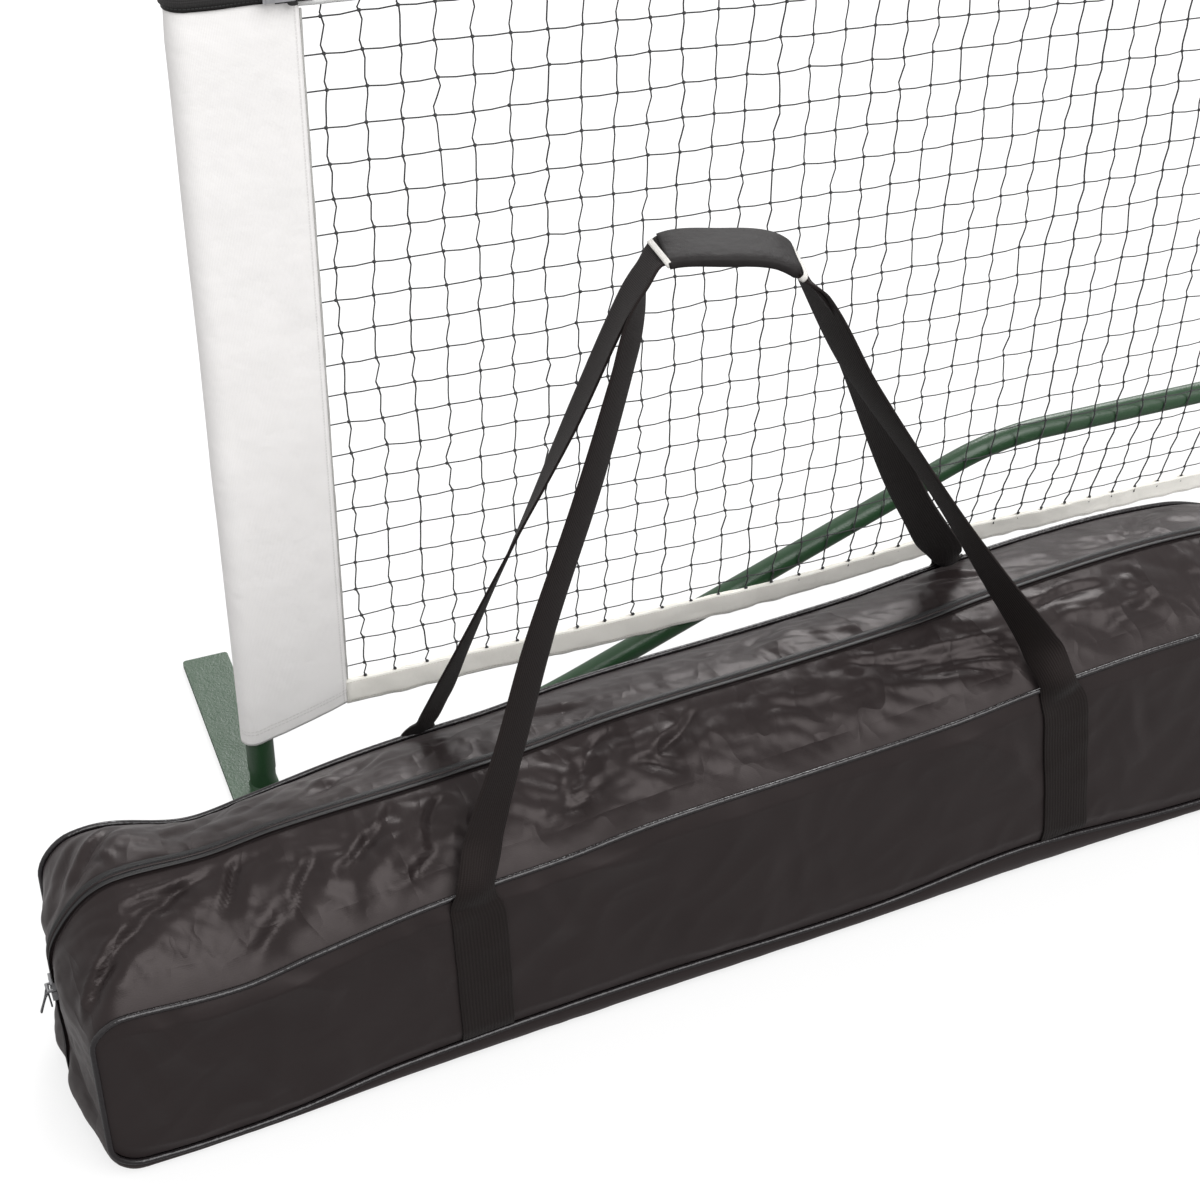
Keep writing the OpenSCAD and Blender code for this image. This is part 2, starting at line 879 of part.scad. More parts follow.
// Swell of the gusset across the bag, w from -1 at the front to 1 at the back
function swell(w) = 1 - w * w;
function top_z(x, w) =
    panel_top(x) + bag_crown * lookup(x / half_len, crown_shares) * swell(w) + bag_back_rise * (w + 1) / 2;
function low_z(x, w) = bag_hem_z * lookup(x / half_len, hem_shares) * max(0, (abs(w) - 0.93) / 0.07);
function reach(w) = half_len + bag_end_swell * swell(w);
function top_corner(w) = panel_corner + (crown_corner - panel_corner) * swell(w);

// A rounded rectangle, as shares of the half length and of the height, anticlockwise
// from the left end of the bottom edge. rx and rz are the corner radii at the bottom,
// tx and tz those at the top.
function arc(cx, cz, rx, rz, from) = [
    for (k = [1:corner_steps])
        [cx + rx * cos(from + 90 * k / corner_steps), cz + rz * sin(from + 90 * k / corner_steps)]
];
function run(a, b, n) = [for (k = [1:n]) a + (b - a) * k / n];
function loop(rx, rz, tx, tz) = concat(
    run([-1 + rx, 0], [1 - rx, 0], 10),
    arc(1 - rx, rz, rx, rz, -90),
    run([1, rz], [1, 1 - tz], 3),
    arc(1 - tx, 1 - tz, tx, tz, 0),
    run([1 - tx, 1], [-1 + tx, 1], 14),
    arc(-1 + tx, 1 - tz, tx, tz, 90),
    run([-1, 1 - tz], [-1, rz], 3),
    arc(-1 + rx, rz, rx, rz, 180)
);
loop_count = 10 + 3 + 14 + 3 + 4 * corner_steps;
zip_from = 10 + corner_steps + 1;
zip_to = 10 + corner_steps + 3 + corner_steps + 14 + corner_steps + 2;

// The gusset's outline at w, drawn in by inset
function gusset_line(w, inset) =
    let (
        r = panel_corner,
        t = top_corner(w),
        high = panel_top(-half_len) + bag_crown * swell(w)
    )
    [
        for (p = loop(r / reach(w), r / high, t / reach(w), t / high))
            let (
                x = p[0] * (reach(w) - inset),
                low = low_z(x, w) + inset,
                high_here = top_z(x, w) - inset
            )
            [x, half_dep * w, low + p[1] * (high_here - low)]
    ];

// The gusset: one strip of cloth round the top, the ends and the bottom
module gusset() {
    rows = len(across);
    n = loop_count;
    outer = [for (w = across) each gusset_line(w, 0)];
    inner = [for (w = across) each gusset_line(w, bag_wall)];
    skin = rows * n;
    faces = concat(
        [for (k = [0:rows - 2]) each band_faces((k + 1) * n, k * n, n)],
        [for (k = [0:rows - 2]) each band_faces(skin + k * n, skin + (k + 1) * n, n)],
        band_faces(0, skin, n),
        band_faces(skin + (rows - 1) * n, (rows - 1) * n, n)
    );
    polyhedron(points = concat(outer, inner), faces = faces, convexity = 6);
}

// A flat panel on the gusset's edge: side is -1 for the front and 1 for the back
module panel(side) {
    outline = [for (p = gusset_line(side, 0)) [p[0], p[2]]];
    upright_sheet(side * (half_dep + bag_wall / 2), bag_wall)
        polygon(outline);
}

// ---------------------------------------------------------------- piping and webbing

function unit(v) = v / norm(v);

// A cord of 6 sides sewn round a panel's edge
module piping(side) {
    line = gusset_line(side, -piping_d / 2 - 0.15);
    n = loop_count;
    y = side * (half_dep + bag_wall);
    points = [
        for (i = [0:n - 1])
            let (
                ahead = unit(line[(i + 1) % n] - line[(i + n - 1) % n]),
                out = [ahead[2], 0, -ahead[0]]
            )
            each [
                for (k = [0:5])
                    [line[i][0], y, line[i][2]]
                    + piping_d / 2 * (cos(60 * k) * out + sin(60 * k) * [0, 1, 0])
            ]
    ];
    faces = [
        for (i = [0:n - 1], k = [0:5])
            let (
                a = 6 * i,
                b = 6 * ((i + 1) % n),
                j = (k + 1) % 6
            )
            each [[a + k, a + j, b + j], [a + k, b + j, b + k]]
    ];
    polyhedron(points = points, faces = faces, convexity = 6);
}

// A flat strap along a path of points, each with the turn of the strap's width
module ribbon(path, width, thick) {
    n = len(path);
    points = [for (p = path) [p[0], p[1], p[2]]];
    turns = [for (p = path) [cos(p[3]), sin(p[3]), 0]];
    corners = [
        for (i = [0:n - 1])
            let (
                ahead = unit(points[min(i + 1, n - 1)] - points[max(i - 1, 0)]),
                wide = unit(turns[i] - (turns[i] * ahead) * ahead),
                flat = cross(wide, ahead)
            )
            each [
                points[i] - width / 2 * wide - thick / 2 * flat,
                points[i] + width / 2 * wide - thick / 2 * flat,
                points[i] + width / 2 * wide + thick / 2 * flat,
                points[i] - width / 2 * wide + thick / 2 * flat
            ]
    ];
    faces = concat(
        [[0, 1, 2], [0, 2, 3]],
        [
            for (i = [0:n - 2])
                let (a = 4 * i, b = 4 * i + 4)
                each [
                    [a, b, b + 1], [a, b + 1, a + 1], [a + 1, b + 1, b + 2], [a + 1, b + 2, a + 2],
                    [a + 2, b + 2, a + 3], [a + 3, b + 2, b + 3], [a + 3, b + 3, b], [a + 3, b, a]
                ]
        ],
        [[4 * n - 1, 4 * n - 2, 4 * n - 3], [4 * n - 1, 4 * n - 3, 4 * n - 4]]
    );
    polyhedron(points = corners, faces = faces, convexity = 6);
}

// The strap's face on a panel, its way over the piping, and the grip that it ends in
sewn_y = half_dep + bag_wall + webbing_t / 2;
over_y = half_dep + bag_wall + piping_d / 2 + webbing_t / 2 + 0.6;
clear_y = over_y + 3.5;
strap_foot = hem_most * bag_hem_z + 2.5;
grip_right = grip_left + grip_length;
front_level = grip_z - webbing_t / 2 - 0.15;
back_level = grip_z + webbing_t / 2 + 0.15;

// Where the straps are sewn along the bag
front_left_x = -311;
front_right_x = 314;
back_left_x = -300;
back_right_x = 262;

// A loop: up the panel, over its edge, up to the grip, and down again. Each point ends
// with the turn of the strap's width about the vertical.
front_path = [
    [front_left_x, -sewn_y, strap_foot, 0],
    [front_left_x, -sewn_y, panel_top(front_left_x) - 30, 0],
    [front_left_x + 1, -over_y, panel_top(front_left_x) - 8, 0],
    [front_left_x + 4, -clear_y, panel_top(front_left_x) + 12, 0],
    [-292, -82, 262, 25],
    [-277, -58, 328, 33],
    [-241, -33, 423, 34],
    [-196, -15, 542, 38],
    [-146, -10, 657, 46],
    [-131.5, -4, 695, 66],
    [-119, -1, 719, 80],
    [grip_left + 2.5, 0, front_level, 90],
    [grip_right - 2.8, 0, front_level, 90],
    [11, -2, 712, 90],
    [68, -13, 602, 100],
    [152, -28, 457, 110],
    [228, -50, 350, 118],
    [284, -82, 298, 132],
    [front_right_x - 3, -clear_y, panel_top(front_right_x) + 12, 180],
    [front_right_x - 1, -over_y, panel_top(front_right_x) - 8, 180],
    [front_right_x, -sewn_y, panel_top(front_right_x) - 30, 180],
    [front_right_x, -sewn_y, strap_foot, 180]
];
back_edge = bag_back_rise;
back_path = [
    [back_left_x, sewn_y, strap_foot, 180],
    [back_left_x, sewn_y, panel_top(back_left_x) + back_edge - 30, 180],
    [back_left_x + 1, over_y, panel_top(back_left_x) + back_edge - 8, 180],
    [back_left_x + 3, clear_y, panel_top(back_left_x) + back_edge + 12, 180],
    [-290, 88, 262, 208],
    [-272, 68, 324, 220],
    [-221, 46, 471, 235],
    [-174, 26, 598, 248],
    [-133, 6, 712, 264],
    [grip_left, 0, back_level, 270],
    [grip_right, 0, back_level, 270],
    [16, 6, 712, 274],
    [82, 18, 596, 284],
    [168, 40, 429, 300],
    [222, 66, 332, 318],
    [back_right_x - 6, 92, panel_top(back_right_x) + back_edge + 26, 340],
    [back_right_x - 3, clear_y, panel_top(back_right_x) + back_edge + 8, 360],
    [back_right_x - 1, over_y, panel_top(back_right_x) + back_edge - 8, 360],
    [back_right_x, sewn_y, panel_top(back_right_x) + back_edge - 30, 360],
    [back_right_x, sewn_y, strap_foot, 360]
];

module front_webbing() {
    ribbon(front_path, webbing_w, webbing_t);
}

module back_webbing() {
    ribbon(back_path, webbing_w, webbing_t);
}

// The wrap that holds both loops together
module grip() {
    slot_w = webbing_w + 1;
    slot_h = 2 * webbing_t + 0.8;
    r = slot_h / 2 + grip_wall;
    middle = slot_w / 2 - 2;
    translate([grip_left + 3, 0, grip_z])
        rotate([90, 0, 90])
            linear_extrude(grip_length - 6)
                difference() {
                    union() {
                        translate([-middle, -r])
                            square([2 * middle, 2 * r]);
                        translate([-middle, 0])
                            circle(r = r);
                        translate([middle, 0])
                            circle(r = r);
                    }
                    translate([-slot_w / 2, -slot_h / 2])
                        square([slot_w, slot_h]);
                }
}

// ---------------------------------------------------------------- zip

// The zip's tapes and closed teeth, laid on the gusset's middle strip
module zip_strip() {
    front = gusset_line(-zip_half, 0);
    back = gusset_line(zip_half, 0);
    count = zip_to - zip_from + 1;
    points = [
        for (i = [zip_from:zip_to])
            let (
                a = front[i],
                b = back[i],
                ahead = unit(front[i + 1] - front[i - 1] + back[i + 1] - back[i - 1]),
                out = [ahead[2], 0, -ahead[0]],
                mid = (a + b) / 2,
                half = (b - a) / norm(b - a) * zip_teeth_w / 2
            )
            each [
                a, b, b + zip_tape_t * out, mid + half + zip_tape_t * out,
                mid + half + zip_teeth_t * out, mid - half + zip_teeth_t * out,
                mid - half + zip_tape_t * out, a + zip_tape_t * out
            ]
    ];
    last = 8 * (count - 1);
    faces = concat(
        [[0, 1, 2], [0, 2, 3], [0, 3, 6], [0, 6, 7], [3, 4, 5], [3, 5, 6]],
        [for (i = [0:count - 2]) each band_faces(8 * i + 8, 8 * i, 8)],
        [
            for (f = [[0, 2, 1], [0, 3, 2], [0, 6, 3], [0, 7, 6], [3, 5, 4], [3, 6, 5]])
                [for (k = f) last + k]
        ]
    );
    polyhedron(points = points, faces = faces, convexity = 6);
}

zip_face = -reach(zip_half);
pull_hinge_x = zip_face - slider_t - 2.6;

// A slider over the teeth, with a bail that carries its pull. The slider's middle is
// at z, and its bail stands on the front or the back half.
module slider(z, half) {
    leg_w = 1.2;
    bail_y = half * (pull_w / 2 + leg_w + 0.6);
    gap_w = pull_w + 2 * side_gap;
    difference() {
        translate([zip_face - slider_t, -slider_w / 2, z - slider_length / 2])
            cube([slider_t - zip_tape_t - side_gap, slider_w, slider_length]);
        translate([zip_face - zip_teeth_t - side_gap, -zip_teeth_w / 2 - side_gap, z - slider_length])
            cube([zip_teeth_t + side_gap, zip_teeth_w + 2 * side_gap, 2 * slider_length]);
    }
    for (y = [bail_y - gap_w / 2 - leg_w, bail_y + gap_w / 2])
        translate([0, y, 0]) {
            translate([pull_hinge_x, 0, z - pull_pin_d / 2])
                cube([zip_face - slider_t - pull_hinge_x + 1, leg_w, pull_pin_d]);
            translate([pull_hinge_x, 0, z])
                rotate([-90, 0, 0])
                    cylinder(h = leg_w, r = pull_pin_d / 2);
        }
    translate([pull_hinge_x, bail_y - gap_w / 2 - leg_w, z])
        rotate([-90, 0, 0])
            cylinder(h = gap_w + 2 * leg_w, r = pull_pin_d / 2);
}

// A pull: an eye round the bail's pin and a slotted tab that hangs from it
module pull(z, half) {
    bail_y = half * (pull_w / 2 + 1.2 + 0.6);
    eye_r = pull_pin_d / 2 + 1;
    translate([pull_hinge_x, bail_y - pull_w / 2, z])
        difference() {
            union() {
                rotate([-90, 0, 0])
                    cylinder(h = pull_w, r = eye_r);
                translate([-pull_t / 2, 0, -pull_length])
                    cube([pull_t, pull_w, pull_length]);
            }
            translate([0, -1, 0])
                rotate([-90, 0, 0])
                    cylinder(h = pull_w + 2, r = pull_pin_d / 2 + pin_gap);
            translate([-pull_t, pull_w / 3, -pull_length * 0.55])
                cube([2 * pull_t, pull_w / 3, pull_length * 0.4]);
        }
}

slider_upper_z = slider_meet_z + slider_length / 2 + 0.5;
slider_lower_z = slider_meet_z - slider_length / 2 - 0.5;

// ---------------------------------------------------------------- sub-parts

module base_plate_left() { color(steel_green) at_left_post() end_foot(); }
module base_plate_right() { color(steel_green) at_right_post() end_foot(); }
module base_plate_centre() { color(steel_green) foot(); }
module post_stub_left() { color(steel_green) at_left_post() post_stub(); }
module post_stub_right() { color(steel_green) at_right_post() post_stub(); }
module rail_stub_left() { color(steel_green) at_left_post() rail_stub(); }
module rail_stub_right() { color(steel_green) at_right_post() rail_stub(); }
module post_left() { color(steel_green) at_left_post() end_post(); }
module post_right() { color(steel_green) at_right_post() end_post(); }
module post_caps() {
    color(black_plastic) {
        at_left_post() post_cap();
        at_right_post() post_cap();
    }
}
module bent_rail_left() { color(steel_green) at_left_post() bent_rail(); }
module bent_rail_right() { color(steel_green) at_right_post() bent_rail(); }
module mid_rail_left() { color(steel_green) at_left_post() straight_rail(bent_reach, mid_reach); }
module mid_rail_right() { color(steel_green) at_right_post() straight_rail(bent_reach, mid_reach); }
module inner_rail_left() {
    color(steel_green)
        at_left_post()
            straight_rail(mid_reach, post_x - arm_reach);
}
module inner_rail_right() {
    color(steel_green)
        at_right_post()
            straight_rail(mid_reach, post_x - arm_reach);
}
module centre_leg() { color(steel_green) leg(); }
module centre_arms() { color(steel_green) both_halves() arm(); }
module centre_post() { color(steel_green) middle_post(); }
module centre_cap() {
    color(black_plastic)
        cap(centre_cap_top, centre_post_r, centre_post_r - centre_post_wall);
}
module button_left() { color(zinc) at_left_post() spring_button(button_z, stub_r - stub_wall, post_r); }
module button_right() { color(zinc) at_right_post() spring_button(button_z, stub_r - stub_wall, post_r); }
module button_centre() {
    color(zinc)
        spring_button(centre_button_z, centre_post_r - centre_post_wall, rail_r);
}
module button_spring_left() { color(zinc) at_left_post() leaf_spring(button_z, stub_r - stub_wall); }
module button_spring_right() { color(zinc) at_right_post() leaf_spring(button_z, stub_r - stub_wall); }
module button_spring_centre() {
    color(zinc)
        leaf_spring(centre_button_z, centre_post_r - centre_post_wall);
}
module net_mesh() { color([0.15, 0.15, 0.15]) netting(); }
module side_cords() {
    color([0.6, 0.6, 0.6]) {
        at_left_post() side_cord();
        at_right_post() side_cord();
    }
}
module top_tape() {
    color(white_cloth)
        both_halves()
            along_edge(top_tape_z, tape_end)
                top_tape_profile();
}
module headline_cord() {
    color([0.3, 0.3, 0.3])
        both_halves()
            along_edge(side_height - roll_r, tape_end)
                circle(r = headline_d / 2);
}
module bottom_tape() {
    color(cream_tape)
        both_halves()
            along_edge(bottom_tape_z, tape_end)
                bottom_tape_profile();
}
module sleeve_left() { color(white_cloth) at_left_post() sleeve(); }
module sleeve_right() { color(white_cloth) at_right_post() sleeve(); }
module corner_left() { color(black_plastic) at_left_post() corner(); }
module corner_right() { color(black_plastic) at_right_post() corner(); }
module tension_strap_left() { color(black_webbing) at_left_post() tension_strap(); }
module tension_strap_right() { color(black_webbing) at_right_post() tension_strap(); }
module buckle_left() { color(black_plastic) at_left_post() buckle(); }
module buckle_right() { color(black_plastic) at_right_post() buckle(); }
module buckle_pins() {
    color(zinc) {
        at_left_post() buckle_pin();
        at_right_post() buckle_pin();
    }
}
module buckle_lever_left() { color(zinc) at_left_post() buckle_lever(); }
module buckle_lever_right() { color(zinc) at_right_post() buckle_lever(); }
module centre_pocket() { color(white_cloth) pocket(); }
module bag_front_panel() { color(black_cloth) bag_place() panel(-1); }
module bag_back_panel() { color(black_cloth) bag_place() panel(1); }
module bag_gusset() { color(black_cloth) bag_place() gusset(); }
module bag_piping() {
    color(black_webbing)
        bag_place() {
            piping(-1);
            piping(1);
        }
}
module zip_tape() { color(black_webbing) bag_place() zip_strip(); }
module zip_slider_upper() { color(zinc) bag_place() slider(slider_upper_z, -1); }
module zip_slider_lower() { color(zinc) bag_place() slider(slider_lower_z, 1); }
module zip_pull_upper() { color(zinc) bag_place() pull(slider_upper_z, -1); }
module zip_pull_lower() { color(zinc) bag_place() pull(slider_lower_z, 1); }
module webbing_front() { color(black_webbing) bag_place() front_webbing(); }
module webbing_back() { color(black_webbing) bag_place() back_webbing(); }
module grip_wrap() { color(black_cloth) bag_place() grip(); }

base_plate_left();
base_plate_right();
base_plate_centre();
post_stub_left();
post_stub_right();
rail_stub_left();
rail_stub_right();
post_left();
post_right();
post_caps();
bent_rail_left();
bent_rail_right();
mid_rail_left();
mid_rail_right();
inner_rail_left();
inner_rail_right();
centre_leg();
centre_arms();
centre_post();
centre_cap();
button_left();
button_right();
button_centre();
button_spring_left();
button_spring_right();
button_spring_centre();
net_mesh();
side_cords();
top_tape();
headline_cord();
bottom_tape();
sleeve_left();
sleeve_right();
corner_left();
corner_right();
tension_strap_left();
tension_strap_right();
buckle_left();
buckle_right();
buckle_pins();
buckle_lever_left();
buckle_lever_right();
centre_pocket();
bag_front_panel();
bag_back_panel();
bag_gusset();
bag_piping();
zip_tape();
zip_slider_upper();
zip_slider_lower();
zip_pull_upper();
zip_pull_lower();
webbing_front();
webbing_back();
grip_wrap();
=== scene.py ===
import math

import bmesh
import bpy
from mathutils import Matrix, Vector, noise


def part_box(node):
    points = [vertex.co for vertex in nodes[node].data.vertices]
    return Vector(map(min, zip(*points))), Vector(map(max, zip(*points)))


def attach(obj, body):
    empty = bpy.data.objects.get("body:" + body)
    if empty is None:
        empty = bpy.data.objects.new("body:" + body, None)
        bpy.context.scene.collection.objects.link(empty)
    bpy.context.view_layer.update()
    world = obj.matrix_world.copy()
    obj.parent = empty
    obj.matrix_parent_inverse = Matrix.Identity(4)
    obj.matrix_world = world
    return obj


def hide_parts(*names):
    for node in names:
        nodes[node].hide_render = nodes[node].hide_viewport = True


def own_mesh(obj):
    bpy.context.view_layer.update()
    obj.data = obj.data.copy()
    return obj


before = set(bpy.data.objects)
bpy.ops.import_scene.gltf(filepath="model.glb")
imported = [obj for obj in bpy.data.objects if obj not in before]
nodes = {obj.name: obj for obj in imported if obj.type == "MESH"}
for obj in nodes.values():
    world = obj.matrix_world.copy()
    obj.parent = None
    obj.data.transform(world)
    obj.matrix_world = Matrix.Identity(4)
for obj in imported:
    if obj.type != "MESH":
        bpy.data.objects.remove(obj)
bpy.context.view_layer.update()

# Camera: stands at eye height in front of the left post and looks down along the net, so that
# the post, its sleeve, the start of the ground bar and the carry bag fill the picture.
camera = bpy.data.objects.new("camera", bpy.data.cameras.new("camera"))
bpy.context.scene.collection.objects.link(camera)
bpy.context.scene.camera = camera
camera.location = (-3.65536, -1.66255, 1.52693)
camera.rotation_euler = (math.radians(55.7844), math.radians(-2.4472), math.radians(-24.2299))
camera.data.lens = 62.293
camera.data.sensor_width = 36
camera.data.shift_x = -0.0899
camera.data.shift_y = -0.1002
camera.data.clip_end = 200


# Floor and light: a smooth white studio floor under a white sky, with one soft lamp above
# and behind the net and a softer one in front. The floor keeps the soft shadows.
class Value:
    """A socket of a finish, for sums with numbers and other sockets."""

    def __init__(self, finish, socket):
        self.finish = finish
        self.socket = socket

    def maths(self, operation, first, second=0.0):
        return self.finish.add("ShaderNodeMath", {"operation": operation}, {0: first, 1: second})

    def __add__(self, other):
        return self.maths("ADD", self, other)

    def __sub__(self, other):
        return self.maths("SUBTRACT", self, other)

    def __mul__(self, other):
        return self.maths("MULTIPLY", self, other)

    def __truediv__(self, other):
        return self.maths("DIVIDE", self, other)

    def __lt__(self, other):
        return self.maths("LESS_THAN", self, other)

    def __gt__(self, other):
        return self.maths("GREATER_THAN", self, other)

    def __mod__(self, other):
        return self.maths("FLOORED_MODULO", self, other)

    def __abs__(self):
        return self.maths("ABSOLUTE", self)


class Finish:
    """A material with a Principled shader, and the one way to add nodes to it."""

    def __init__(self, name, **constants):
        self.material = bpy.data.materials.new(name)
        self.material.use_nodes = True
        self.tree = self.material.node_tree
        self.shader = self.tree.nodes["Principled BSDF"]
        for socket, value in constants.items():
            self.shader.inputs[socket.replace("_", " ")].default_value = value

    def add(self, kind, settings=None, inputs=None, output=0):
        node = self.tree.nodes.new(kind)
        for key, value in (settings or {}).items():
            if key == "stops":
                while len(node.color_ramp.elements) < len(value):
                    node.color_ramp.elements.new(0.5)
                for element, (place, colour) in zip(node.color_ramp.elements, value):
                    element.position = place
                    element.color = colour
            else:
                setattr(node, key, value)
        for key, value in (inputs or {}).items():
            if isinstance(value, Value):
                self.tree.links.new(value.socket, node.inputs[key])
            else:
                node.inputs[key].default_value = value
        return Value(self, node.outputs[output])

    def place(self, turn=(0, 0, 0), size=(1, 1, 1)):
        """Object coordinates in metres, turned and scaled."""
        where = self.add("ShaderNodeTexCoord", output="Object")
        return self.add("ShaderNodeMapping", {}, {"Vector": where, "Rotation": turn, "Scale": size})

    def cloth(self, first, second):
        """Metres along the piece's own cloth, in its first and in its second direction."""
        where = self.add("ShaderNodeUVMap", {"uv_map": "cloth"})
        metres = self.add("ShaderNodeMapping", {}, {"Vector": where, "Scale": (first, second, 1)})
        return self.axis(metres, "X"), self.axis(metres, "Y")

    def axis(self, where, letter):
        return self.add("ShaderNodeSeparateXYZ", {}, {"Vector": where}, letter)

    def cloud(self, scale, detail=2.0, rough=0.5, where=None):
        """Soft noise from 0 to 1, the finer the larger its scale."""
        inputs = {"Vector": where or self.place(), "Scale": scale, "Detail": detail, "Roughness": rough}
        return self.add("ShaderNodeTexNoise", {}, inputs)

    def mix(self, amount, first, second):
        return self.add("ShaderNodeMix", {"data_type": "RGBA"}, {0: amount, 6: first, 7: second}, 2)

    def ramp(self, amount, *stops):
        stops = [(place, (value, value, value, 1)) for place, value in stops]
        return self.add("ShaderNodeValToRGB", {"stops": stops}, {"Fac": amount})

    def feed(self, socket, value):
        self.tree.links.new(value.socket, self.shader.inputs[socket])

    def relief(self, *layers):
        """Bumps on the surface: each layer is a height from 0 to 1 and its depth in metres."""
        normal = None
        for height, depth in layers:
            inputs = {"Height": height, "Distance": depth}
            if normal:
                inputs["Normal"] = normal
            normal = self.add("ShaderNodeBump", {}, inputs)
        self.feed("Normal", normal)


def shown(name, mesh, finish):
    """A mesh becomes a smooth piece with its finish."""
    mesh.name = name
    mesh.materials.clear()
    mesh.materials.append(finish.material)
    mesh.shade_smooth()
    piece = bpy.data.objects.new(name, mesh)
    bpy.context.scene.collection.objects.link(piece)
    return piece


def keep(name, shape, finish):
    """A bmesh becomes a finished piece in its place."""
    mesh = bpy.data.meshes.new(name)
    shape.to_mesh(mesh)
    shape.free()
    return shown(name, mesh, finish)


studio_white = Finish("studio_white", Base_Color=(0.3, 0.3, 0.3, 1), Roughness=0.9, Specular_IOR_Level=0.1)
seen = studio_white.add("ShaderNodeLightPath", output="Is Camera Ray")
glow = studio_white.add("ShaderNodeEmission", {}, {"Color": (1, 1, 1, 1), "Strength": 0.69})
lit = Value(studio_white, studio_white.shader.outputs[0])
lit_and_glowing = studio_white.add("ShaderNodeAddShader", {}, {0: lit, 1: glow})
floor_mix = studio_white.add("ShaderNodeMixShader", {}, {0: seen, 1: lit, 2: lit_and_glowing})
studio_white.tree.links.new(floor_mix.socket, studio_white.tree.nodes["Material Output"].inputs[0])
ground = bmesh.new()
bmesh.ops.create_grid(ground, x_segments=1, y_segments=1, size=60)
floor = keep("floor", ground, studio_white)

world = bpy.data.worlds.new("studio")
bpy.context.scene.world = world
world.use_nodes = True
studio = world.node_tree
sky_light = studio.nodes["Background"]
seen_sky = studio.nodes.new("ShaderNodeBackground")
for background, strength in ((sky_light, 0.8), (seen_sky, 1.0)):
    background.inputs["Strength"].default_value = strength
    background.inputs["Color"].default_value = (1, 1, 1, 1)
path = studio.nodes.new("ShaderNodeLightPath")
either = studio.nodes.new("ShaderNodeMixShader")
studio.links.new(path.outputs["Is Camera Ray"], either.inputs[0])
studio.links.new(sky_light.outputs[0], either.inputs[1])
studio.links.new(seen_sky.outputs[0], either.inputs[2])
studio.links.new(either.outputs[0], studio.nodes["World Output"].inputs[0])


def lamp(name, strength, spread, tilt, turn):
    """A broad distant lamp; its spread, tilt and turn are in degrees."""
    light = bpy.data.lights.new(name, "SUN")
    light.energy = strength
    light.angle = math.radians(spread)
    holder = bpy.data.objects.new(name, light)
    holder.rotation_euler = (math.radians(tilt), 0, math.radians(turn))
    bpy.context.scene.collection.objects.link(holder)


lamp("lamp_above", 1.6, 26, -54, -28)
lamp("lamp_front", 2.3, 50, 43, 15)
bpy.context.scene.view_settings.view_transform = "Standard"


# Steel frame: flat bars and tubes, welded or plugged together and sprayed dark green. The
# paint is satin with a fine orange peel and faint rubs, and the bars' edges are eased.
def coat(names, finish):
    """Solids that keep their form take a finish."""
    for name in names.split():
        nodes[name].data.materials.clear()
        nodes[name].data.materials.append(finish.material)


def ease_edges(piece, width):
    """Sharp edges are rounded off to a width."""
    rounding = piece.modifiers.new("arris", "BEVEL")
    rounding.width = width
    rounding.segments = 2


frame_paint = Finish("frame_paint", Specular_IOR_Level=0.5)
rubs = frame_paint.ramp(frame_paint.cloud(55, 4, 0.65), (0.55, 0), (0.75, 1))
green = frame_paint.mix(rubs * 0.5, (0.019, 0.056, 0.023, 1), (0.036, 0.076, 0.039, 1))
frame_paint.feed("Base Color", green)
frame_paint.feed("Roughness", rubs * 0.16 + 0.34)
frame_paint.relief((frame_paint.cloud(420), 0.00025), (frame_paint.cloud(30), 0.0004))
feet = "base_plate_left base_plate_right base_plate_centre"
coat(feet, frame_paint)
coat("post_stub_left post_stub_right rail_stub_left rail_stub_right post_left post_right", frame_paint)
coat("mid_rail_left mid_rail_right inner_rail_left inner_rail_right", frame_paint)
coat("centre_leg centre_arms centre_post", frame_paint)
for name in feet.split():
    ease_edges(nodes[name], 0.0009)


# Bent tubes: one on each side, drawn round two gentle bends from the floor up to the arch.
# The low bend also turns forward, to the stub on the foot that the tube's reduced end enters.
def drawn(name, lines, radius, sides, finish, capped=True):
    """Round tubes, cords or twines through lines of points, as one piece."""
    curve = bpy.data.curves.new(name, "CURVE")
    curve.dimensions = "3D"
    curve.bevel_depth = radius
    curve.bevel_resolution = sides // 4 - 1
    curve.use_fill_caps = capped
    for points in lines:
        spline = curve.splines.new("POLY")
        spline.points.add(len(points) - 1)
        for knot, point in zip(spline.points, points):
            knot.co = (*point, 1)
    holder = bpy.data.objects.new(name + "_curve", curve)
    mesh = bpy.data.meshes.new_from_object(holder)
    bpy.data.objects.remove(holder)
    bpy.data.curves.remove(curve)
    return shown(name, mesh, finish)


# All sizes are in metres. The posts stand at post_x on both sides of the net's middle, and the
# tube's stub, climb and joint are measured inwards from them.
post_x = 3.3528
bar_radius = 0.0127
bar_low, bar_high = 0.0187, 0.243
stub_end, climb_start, arch_joint = 0.170, 0.307, 1.190
slope, bend_r, bend_steps = math.radians(21.7), 0.320, 12
swing = math.radians(15)
tangent = bend_r * math.tan(slope / 2)
first_bend = climb_start - tangent
second_bend = climb_start + (bar_high - bar_low) / math.tan(slope) + tangent
hands = ((-1, "left"), (1, "right"))


